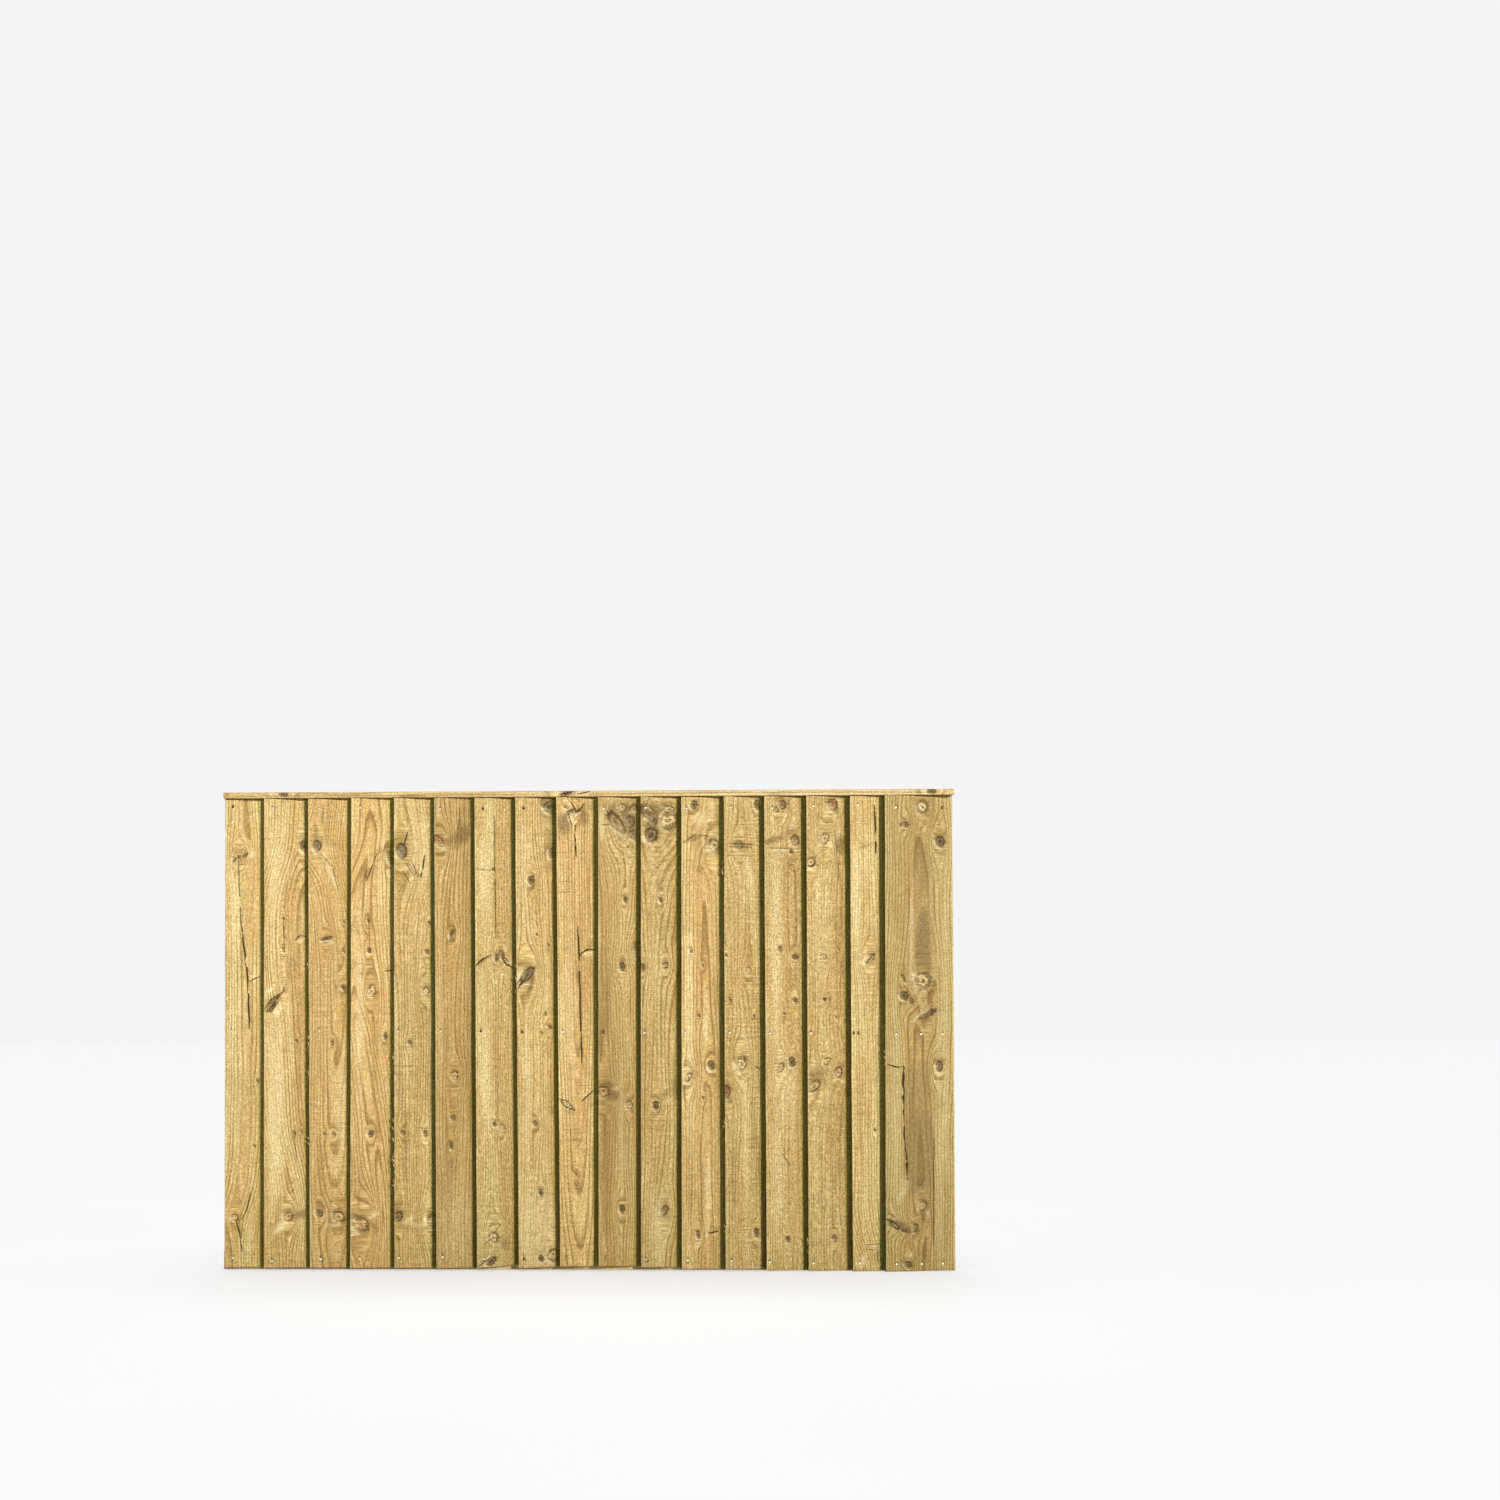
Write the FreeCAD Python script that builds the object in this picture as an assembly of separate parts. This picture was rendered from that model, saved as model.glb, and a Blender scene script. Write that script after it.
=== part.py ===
"""Closeboard fence panel: upright feathered boards nailed to three rails, under a capping strip.

Millimetres. Seen from the front, +X runs along the panel to the right; the front faces -Y and +Z is up.
The origin is the middle of the bottom rail's underside.
"""

import FreeCAD, Part
import math
import os
from collections import namedtuple

# Overall size.
PANEL_WIDTH = 1830.0
PANEL_HEIGHT = 1200.0

# Rails: three sawn battens behind the boards, as long as the panel.
RAIL_HEIGHT = 45.0
RAIL_DEPTH = 25.0
RAIL_ARRIS = 1.5
MIDDLE_RAIL_RISE = 2.5  # of its centre above the level midway between the other two

# Capping strip, laid flat over the top rail and the heads of the boards.
CAPPING_THICKNESS = 15.0
CAPPING_FRONT_OVERHANG = 0.5  # past the thick edges of most boards
CAPPING_BACK_OVERHANG = 1.0
CAPPING_ROUNDING = 3.5

# Feathered boards. Each has a thick left edge that laps over the thin right edge of the board before it.
BOARD_WIDTH = 125.0
BOARD_THICK_EDGE = 12.0
BOARD_THIN_EDGE = 4.0
BOARD_ARRIS = 1.0
BOARD_LEAST_LAP = 20.0
LAST_BOARD_WIDTH = 175.0
LAST_BOARD_RIPPING = 6.0  # sawn off its thin edge so that it ends plumb
FIRST_BOARD_SETBACK = 3.4  # from the rails' left ends
LAST_BOARD_SETBACK = 0.5  # from the rails' right ends
BOARD_HEAD_GAP = 0.5  # under the capping
SEAT_GAP = 0.1  # between a board and what it lies on

# How far each board strayed from even spacing, and how far its foot stands to the right of its head.
STRAYS = (0, -3, 7, 9, 15, 15, 13, 13, 13, 10, 13, 11, 15, 13, 14, 20)
LEANS = (1.4, 2.3, 6.9, -1.5, 2.1, 5.5, 6.1, 8.5, 8.6, -1.0, -2.4, -2.1, 0.3, 1.9, 0.8, 1.4)
LAST_BOARD_LEAN = -4.2

# Height of the left and right corners of each board's foot above the ground, and of its head below the gap.
FEET = (
    (6.0, 5.0), (6.5, 5.0), (6.5, 5.5), (6.0, 5.0), (6.5, 5.0), (6.0, 5.5), (6.5, 15.0), (6.5, 9.5), (11.5, 9.5),
    (12.0, 9.5), (9.5, 7.5), (5.5, 3.5), (5.0, 3.0), (3.0, 1.0), (2.0, 0.8), (0.8, 0.8), (0.6, 2.0),
)
HEADS = (
    (1.0, 0.5), (0.5, 1.0), (1.5, 1.0), (0.5, 0.5), (1.0, 1.5), (0.5, 0.0), (1.5, 2.0), (1.0, 0.5), (0.5, 1.5),
    (1.0, 1.0), (0.0, 0.5), (1.5, 1.0), (0.5, 0.5), (1.0, 2.0), (0.5, 0.5), (1.5, 1.0), (0.5, 1.0),
)

# Round-head nails, one size throughout, with their heads driven just under the surface.
NAIL_SHANK_DIAMETER = 2.65
NAIL_HEAD_DIAMETER = 6.0
NAIL_HEAD_THICKNESS = 1.0
NAIL_POINT_LENGTH = 3.5
NAIL_SET = 0.8
NAIL_TIP_COVER = 4.0  # timber left behind the deepest point
NAIL_SLACK = 0.05  # round a nail in its hole

# Where the nails of a row stand: how far in from each board's thick edge, and how far above the rail's
# centre line, as a share of half the rail's height.
TOP_INSETS = (19, 21, 28, 22, 14, 14, 21, 21, 22, 14, 12, 13, 18, 21, 18, 20)
MIDDLE_INSETS = (16, 20, 25, 21, 10, 13, 13, 13, 12, 12, 9, 9, 13, 12, 9, 6)
BOTTOM_INSETS = (20, 20, 27, 24, 11, 16, 17, 13, 14, 17, 12, 15, 15, 8, 12, 18)
TOP_RISES = (0.1, -0.1, -0.2, -0.1, -0.2, -0.3, -0.3, -0.3, -0.4, -0.4, -0.3, -0.4, -0.3, -0.4, -0.2, -0.1, -0.4)
MIDDLE_RISES = (0.2, 0.2, 0.2, 0.1, 0.1, 0.1, 0.1, 0.0, 0.0, 0.0, -0.1, -0.1, -0.1, -0.2, -0.2, -0.2, -0.3)
BOTTOM_RISES = (0.3, 0.0, 0.2, 0.3, 0.4, 0.5, 0.3, 0.4, 0.3, 0.2, 0.2, 0.2, 0.1, 0.0, -0.1, -0.1, -0.2)
LAST_BOARD_COLUMNS = (0.16, 0.52, 0.83)  # shares of its width
DOUBLE_NAIL_BOARD = 16  # its middle nail has a second one beside it
DOUBLE_NAIL_SPACING = 12.0
CAPPING_NAIL_STEP = 4  # one over every fourth board
CAPPING_NAIL_INSET = 57.0  # from that board's thick edge

# Heights of the rails' centre lines and of the boards' heads.
RAIL_FRONT = -RAIL_DEPTH / 2
CAPPING_UNDERSIDE = PANEL_HEIGHT - CAPPING_THICKNESS
BOTTOM_RAIL_CENTRE = RAIL_HEIGHT / 2
TOP_RAIL_CENTRE = CAPPING_UNDERSIDE - RAIL_HEIGHT / 2
MIDDLE_RAIL_CENTRE = (BOTTOM_RAIL_CENTRE + TOP_RAIL_CENTRE) / 2 + MIDDLE_RAIL_RISE
BOARD_HEAD_LEVEL = CAPPING_UNDERSIDE - BOARD_HEAD_GAP

Row = namedtuple("Row", "rail centre insets rises")
NAIL_ROWS = (
    Row("top_rail", TOP_RAIL_CENTRE, TOP_INSETS, TOP_RISES),
    Row("middle_rail", MIDDLE_RAIL_CENTRE, MIDDLE_INSETS, MIDDLE_RISES),
    Row("bottom_rail", BOTTOM_RAIL_CENTRE, BOTTOM_INSETS, BOTTOM_RISES),
)
Board = namedtuple("Board", "number edge width lean lift foot head")
Nail = namedtuple("Nail", "row x z stand_off")


def pick(values, index):
    """The value at a place in a list that starts again when it runs out."""
    return values[index % len(values)]


def edge_at(board, z):
    """X of a board's thick edge at a height: the board leans about its middle."""
    return board.edge + board.lean * (0.5 - z / BOARD_HEAD_LEVEL)


def front_at(board, across):
    """How far a board's face stands in front of the rails, at a distance from its thick edge."""
    thick_edge = board.lift + BOARD_THICK_EDGE
    return SEAT_GAP + thick_edge + (BOARD_THIN_EDGE - thick_edge) * across / board.width


def lift_over(board, edge, width, lean):
    """How far the thick edge of the next board is raised by lying on this one."""
    exposed = edge - board.edge - abs(lean - board.lean) / 2
    lap = board.width - exposed
    if lap <= 0:
        return 0.0
    on_its_corner = front_at(board, exposed)
    on_the_thin_edge = front_at(board, board.width) / (1 - lap / width)
    return max(on_its_corner, on_the_thin_edge)


def set_out_boards():
    """The boards from left to right: even spacing between the first and the last, each a little astray."""
    first = -PANEL_WIDTH / 2 + FIRST_BOARD_SETBACK
    last = PANEL_WIDTH / 2 - LAST_BOARD_SETBACK - LAST_BOARD_WIDTH
    steps = math.ceil((last - first) / (BOARD_WIDTH - BOARD_LEAST_LAP))
    spacing = (last - first) / steps
    boards = []
    for i in range(steps):
        edge = first + i * spacing + pick(STRAYS, i)
        lean = pick(LEANS, i)
        lift = lift_over(boards[-1], edge, BOARD_WIDTH, lean) if boards else 0.0
        boards.append(Board(i + 1, edge, BOARD_WIDTH, lean, lift, pick(FEET, i), pick(HEADS, i)))
    width = LAST_BOARD_WIDTH + LAST_BOARD_RIPPING
    lift = lift_over(boards[-1], last, width, LAST_BOARD_LEAN)
    boards.append(Board(steps + 1, last, width, LAST_BOARD_LEAN, lift, FEET[-1], HEADS[-1]))
    return boards


def set_out_nails(boards):
    """One nail where each board crosses each rail, and three across the wide last board."""
    nails = []
    for row in NAIL_ROWS:
        for i, board in enumerate(boards):
            z = row.centre + pick(row.rises, i) * RAIL_HEIGHT / 2
            if board is boards[-1]:
                places = [share * LAST_BOARD_WIDTH for share in LAST_BOARD_COLUMNS]
            else:
                places = [pick(row.insets, i)]
            if board.number == DOUBLE_NAIL_BOARD and row.rail == "middle_rail":
                places.append(places[0] + DOUBLE_NAIL_SPACING)
            for across in places:
                stand_off = front_at(board, across) - NAIL_SET
                nails.append(Nail(row.rail, edge_at(board, z) + across, z, stand_off))
    return nails


def solid_between(section, lower, upper, shift):
    """A solid over a flat outline in X and Y, from one sloping end to another.

    Each end gives a height for an x, and shift moves each level sideways, which makes the solid lean.
    """
    def point(x, y, z):
        return FreeCAD.Vector(x + shift(z), y, z)

    foot = [point(x, y, lower(x)) for x, y in section]
    head = [point(x, y, upper(x)) for x, y in section]
    loops = [foot, head]
    for i in range(len(section)):
        j = (i + 1) % len(section)
        loops.append([foot[i], foot[j], head[j], head[i]])
    faces = [Part.Face(Part.makePolygon(loop + loop[:1])) for loop in loops]
    return Part.makeSolid(Part.makeShell(faces))


def board_shape(board):
    """A feathered board: thick at its left edge, with an arris planed off, and thin at its right."""
    def place(across, stand_off):
        return across, RAIL_FRONT - stand_off

    section = [
        place(0, SEAT_GAP + board.lift),
        place(board.width, SEAT_GAP),
        place(board.width, front_at(board, board.width)),
        place(BOARD_ARRIS, front_at(board, BOARD_ARRIS)),
        place(0, front_at(board, 0) - BOARD_ARRIS),
    ]

    def slope(corners):
        left, right = corners
        return lambda across: left + (right - left) * across / board.width

    foot = slope(board.foot)
    head = slope([BOARD_HEAD_LEVEL - drop for drop in board.head])
    return solid_between(section, foot, head, lambda z: edge_at(board, z))


def rip_plumb(shape):
    """Saws the last board off plumb, just inside the rails' ends."""
    end = PANEL_WIDTH / 2 - LAST_BOARD_SETBACK
    reach = 2 * (LAST_BOARD_RIPPING + abs(LAST_BOARD_LEAN))
    corner = FreeCAD.Vector(end, shape.BoundBox.YMin - 1, -PANEL_HEIGHT / 2)
    waste = Part.makeBox(reach, shape.BoundBox.YLength + 2, 2 * PANEL_HEIGHT, corner)
    return shape.cut(waste)


def nail_shape(length, slack=0.0):
    """A nail from its head at the origin towards +Y. With slack, it is the hole for one, open at the head."""
    head = NAIL_HEAD_DIAMETER / 2 + slack
    shank = NAIL_SHANK_DIAMETER / 2 + slack
    mouth = -(NAIL_SET + NAIL_HEAD_DIAMETER) if slack else 0.0
    profile = [
        (0, mouth),
        (head, mouth),
        (head, NAIL_HEAD_THICKNESS),
        (shank, NAIL_HEAD_THICKNESS),
        (shank, length - NAIL_POINT_LENGTH),
        (0, length + slack),
    ]
    points = [FreeCAD.Vector(r, y, 0) for r, y in profile]
    face = Part.Face(Part.makePolygon(points + points[:1]))
    return face.revolve(FreeCAD.Vector(0, 0, 0), FreeCAD.Vector(0, 1, 0), 360)


def board_nail(nail, length, slack=0.0):
    """A nail driven straight back through the boards into its rail, or its hole."""
    shape = nail_shape(length, slack)
    shape.translate(FreeCAD.Vector(nail.x, RAIL_FRONT - nail.stand_off, nail.z))
    return shape


def capping_nail(board, length, slack=0.0):
    """A nail driven down through the capping into the top rail, or its hole."""
    shape = nail_shape(length, slack)
    shape.rotate(FreeCAD.Vector(0, 0, 0), FreeCAD.Vector(1, 0, 0), -90)
    shape.translate(FreeCAD.Vector(board.edge + CAPPING_NAIL_INSET, 0, PANEL_HEIGHT - NAIL_SET))
    return shape


def rail_shape(centre):
    """A batten as long as the panel, with its long edges eased."""
    corner = FreeCAD.Vector(-PANEL_WIDTH / 2, RAIL_FRONT, centre - RAIL_HEIGHT / 2)
    batten = Part.makeBox(PANEL_WIDTH, RAIL_DEPTH, RAIL_HEIGHT, corner)
    long_edges = [e for e in batten.Edges if abs(e.tangentAt(0).x) > 0.5]
    return batten.makeChamfer(RAIL_ARRIS, long_edges)


def capping_shape(boards):
    """The capping strip: it covers the rail and the boards' heads, with rounded corners at its two ends."""
    thick_fronts = sorted(front_at(board, 0) for board in boards)
    front = RAIL_FRONT - thick_fronts[len(thick_fronts) // 2] - CAPPING_FRONT_OVERHANG
    back = RAIL_DEPTH / 2 + CAPPING_BACK_OVERHANG
    corner = FreeCAD.Vector(-PANEL_WIDTH / 2, front, CAPPING_UNDERSIDE)
    strip = Part.makeBox(PANEL_WIDTH, back - front, CAPPING_THICKNESS, corner)
    top_edges = [e for e in strip.Edges if e.BoundBox.ZMin > CAPPING_UNDERSIDE + CAPPING_THICKNESS / 2]
    return strip.makeFillet(min(CAPPING_ROUNDING, CAPPING_THICKNESS / 3), top_edges)


def drill(shape, holes):
    """Cuts the holes that reach a shape."""
    near = [hole for hole in holes if hole.BoundBox.intersect(shape.BoundBox)]
    return shape.cut(near) if near else shape


def build():
    """Every piece of the panel by name, each with the holes of the nails that go through it."""
    boards = set_out_boards()
    nails = set_out_nails(boards)
    nail_length = RAIL_DEPTH - NAIL_TIP_COVER + min(nail.stand_off for nail in nails)
    board_holes = [board_nail(nail, nail_length, NAIL_SLACK) for nail in nails]
    capped = boards[::CAPPING_NAIL_STEP]
    capping_holes = [capping_nail(board, nail_length, NAIL_SLACK) for board in capped]

    parts = {}
    for board in boards:
        shape = board_shape(board)
        if board is boards[-1]:
            shape = rip_plumb(shape)
        parts["board_%02d" % board.number] = drill(shape, board_holes)
    for row in NAIL_ROWS:
        parts[row.rail] = drill(rail_shape(row.centre), board_holes + capping_holes)
        driven = [board_nail(nail, nail_length) for nail in nails if nail.row == row.rail]
        parts[row.rail + "_nails"] = Part.makeCompound(driven)
    parts["capping_strip"] = drill(capping_shape(boards), capping_holes)
    parts["capping_nails"] = Part.makeCompound([capping_nail(board, nail_length) for board in capped])
    return parts


def export(parts):
    """Writes each piece to a file of its own."""
    os.makedirs("parts", exist_ok=True)
    for name, shape in parts.items():
        shape.exportStep("parts/" + name + ".step")


export(build())
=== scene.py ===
"""Looks of a closeboard fence panel: rough-sawn, pressure-treated softwood on galvanised nails.

Sizes and places are in millimetres in the frame's axes: +X to the right seen from the front, the front
faces -Y and +Z is up. Meshes are turned into metres when they are made.
"""

import math
from collections import namedtuple

import bpy
import numpy as np
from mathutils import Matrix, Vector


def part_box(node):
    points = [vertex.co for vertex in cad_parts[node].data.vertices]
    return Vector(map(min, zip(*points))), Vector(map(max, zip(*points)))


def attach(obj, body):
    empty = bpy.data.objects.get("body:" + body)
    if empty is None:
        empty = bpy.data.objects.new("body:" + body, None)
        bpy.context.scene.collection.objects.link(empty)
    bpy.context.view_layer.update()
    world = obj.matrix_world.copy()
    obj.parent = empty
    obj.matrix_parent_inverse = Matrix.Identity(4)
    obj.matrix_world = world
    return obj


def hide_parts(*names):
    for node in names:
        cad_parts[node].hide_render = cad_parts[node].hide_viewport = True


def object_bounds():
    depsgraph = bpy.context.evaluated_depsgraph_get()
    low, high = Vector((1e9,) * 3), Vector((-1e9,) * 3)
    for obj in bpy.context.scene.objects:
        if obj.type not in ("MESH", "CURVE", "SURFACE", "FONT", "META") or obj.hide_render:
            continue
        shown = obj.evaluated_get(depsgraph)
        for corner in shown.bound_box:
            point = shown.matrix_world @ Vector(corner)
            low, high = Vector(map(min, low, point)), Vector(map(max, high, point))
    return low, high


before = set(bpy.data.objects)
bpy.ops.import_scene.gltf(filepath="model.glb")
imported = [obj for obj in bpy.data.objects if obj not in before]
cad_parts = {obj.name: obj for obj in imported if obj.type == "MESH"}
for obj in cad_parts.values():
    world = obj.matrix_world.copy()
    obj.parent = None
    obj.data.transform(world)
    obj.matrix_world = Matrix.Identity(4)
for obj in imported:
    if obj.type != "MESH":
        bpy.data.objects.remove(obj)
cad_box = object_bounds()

METRES = 0.001  # in a millimetre

# Camera: in front of the panel at half its height, turned a little and with its lens shifted, so that the
# panel's corners fall where they do in the picture.
CAMERA_DISTANCE = 3000.0
CAMERA_HEIGHT = 600.0
CAMERA_YAW = -1.056
CAMERA_PITCH = 0.909
CAMERA_ROLL = -0.092
CAMERA_LENS = 28.864
CAMERA_SHIFT = (0.1233, 0.1740)
CAMERA_REACH = 200000.0  # past the far side of the floor

# Spacing of the timber's meshes, across and along the grain.
FACE_GRID = (2.7, 4.5)
BACK_GRID = 12.0
BAR_GRID = (4.2, 5.5)
CORNER = 0.6  # how far sawn corners are worn round
RELIEF = 0.75  # of the fuzzy sawn surface, in from the true face

# A nail's head lies in a pit that its driving left in the timber.
PIT_RINGS = (0.0, 1.6, 3.1, 3.7, 5.2)  # half-sizes of the mesh's rings about a nail
PIT_DEPTH = 1.45
PIT_TEAR = 1.7  # the pit reaches this many times as far above the nail as below it

# Colour, painted shade and painted highlight that follow a board's edges and height.
BASE_SHADE = 0.72  # how light the boards' feet are beside their heads
BASE_FALL = 2.2  # the power of height by which they darken
PAINTED_LAP_SHADE = 0.78  # how far the timber beside the next board is mixed to dark olive: painted shade where that board's thick edge casts its shadow
PAINTED_LAP_SHADE_REACH = 18.5  # and how far from it that begins to show
ARRIS_HIGHLIGHT = (4.0, 0.8)  # how far from the thick edge the painted highlight along the arris starts, and is whole
SAWN_END_HIGHLIGHT = (5.0, 1.5)  # and from the last board's sawn end
CLEAR_WIDTH = 0.78  # the share of a board's width that holds its own nails
EDGE_STEPS = np.array([0.05, 0.28, 0.52, 0.76, 0.93])  # of the mesh, forward over a thick edge
THIN_STEPS = np.array([0.85, 0.15])  # and back over a thin one
BOARD_SEED = 31  # between one board's noise and the next

SAME_PLACE = 0.05  # points nearer than this are one corner
NAIL_GAP = 2.0  # nails of one node stand further apart than this

# A nail's half-sizes, and how far behind the middle of its head they lie.
NAIL_HEAD = ((1.1, 0.02), (2.1, 0.1), (2.7, 0.25), (2.95, 0.45), (3.0, 0.65), (2.85, 0.98), (1.35, 1.04))
NAIL_SIDES = 20
NAIL_POINT = 4.0
NAIL_LEAN = 0.05  # how far askew a head may be set
DARK_NAILS = {  # heads drawn darker, numbered from the left
    "top_rail_nails": (0, 6, 7, 18),
    "middle_rail_nails": (6, 7, 9, 15, 16),
    "bottom_rail_nails": (7,),
}

# Slivers of a torn edge.
SPLINTER_STEP = 7.0  # of a badly torn range's half-length for each sliver
SPLINTER_BELLY = 0.35  # how far along a sliver it is thickest
SPLINTER_SIDES = ((1.1, 0.0, 0.8), (0.0, 0.7, 0.0), (-1.1, 0.0, -0.8), (0.0, -0.7, 0.0))
SPLINTER_CLEAR = (12.0, 30.0)  # of the board's foot and head
SPLINTER_TINT = 0.4  # how pale it is

# Studio. Each far light falls on the floor alone, or on all but the floor. Azimuth is from the front
# towards the right, and spread the light's size in the sky, all in degrees.
Sun = namedtuple("Sun", "energy colour spread azimuth elevation on_floor shadows")
WHITE = (1.0, 1.0, 1.0)
SUNS = {
    "key": Sun(5.05, (1.0, 0.96, 0.90), 5.0, 48.0, 19.0, on_floor=False, shadows=True),
    "behind": Sun(1.4, (1.0, 0.98, 0.95), 30.0, 205.0, 30.0, on_floor=False, shadows=True),
    "overhead": Sun(3.0, WHITE, 45.0, 0.0, 90.0, on_floor=True, shadows=True),
    "fill": Sun(4.3, WHITE, 45.0, 0.0, 90.0, on_floor=True, shadows=False),
}
FLOOR_REACH = 60000.0
SKY_LIGHT = 0.045  # on the panel
SKY_SEEN = 0.91  # behind it, as bright as the floor

KNOT_OUTLINE = 1.15  # a knot's outline beside the half-sizes given for it
Knot = namedtuple("Knot", "across along wide tall tilt red dark pale")
Stain = namedtuple("Stain", "across along wide tall tilt brown grey pale sharp")
Crack = namedtuple("Crack", "route width dark")
Timber = namedtuple("Timber", "pith depth climb spacing heart light warm green saw fuzz marks")


def knot(across, along, wide, tall, tilt=0.0, red=0.3, dark=0.5, pale=0.0):
    """A knot by its centre and half-sizes. Tilt turns its long axis clockwise from upright, in degrees."""
    return Knot(across, along, KNOT_OUTLINE * wide, KNOT_OUTLINE * tall, tilt, red, dark, pale)


def pin(across, along):
    """A pin knot, a few millimetres across."""
    return knot(across, along, 2.6, 3.4, red=0.5, dark=0.8)


def stain(across, along, wide, tall, tilt=0.0, brown=0.0, grey=0.0, pale=0.0, sharp=0.0):
    """A patch of other colour by its centre and half-sizes, soft, or squarer and firmer if sharp."""
    return Stain(across, along, wide, tall, tilt, brown, grey, pale, sharp)


def darker(across, along, wide, tall, brown, tilt=0.0):
    """A soft brown patch."""
    return stain(across, along, wide, tall, tilt, brown=brown)


def lighter(across, along, wide, tall, pale, tilt=0.0):
    """A soft pale patch."""
    return stain(across, along, wide, tall, tilt, pale=pale)


def crack(width, dark, *route):
    """A drying crack along points of (across, along)."""
    return Crack(route, width, dark)


def timber(pith, depth, climb, spacing, heart, light, warm, green, saw, fuzz, *marks):
    """One piece of timber.

    pith and depth place the heart of the tree across the face and behind it. Where the heart wanders, pith
    is pairs of (along, across). climb is how fast the depth grows along the piece, which draws the arches
    of flat-sawn grain. spacing is a year's growth, and heart the radius of the darker heartwood. Then come
    how light, warm and green it is, and how strong its saw marks and its fuzz are. The marks are placed
    across from its first edge and along it.
    """
    return Timber(pith, depth, climb, spacing, heart, light, warm, green, saw, fuzz, marks)


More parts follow.
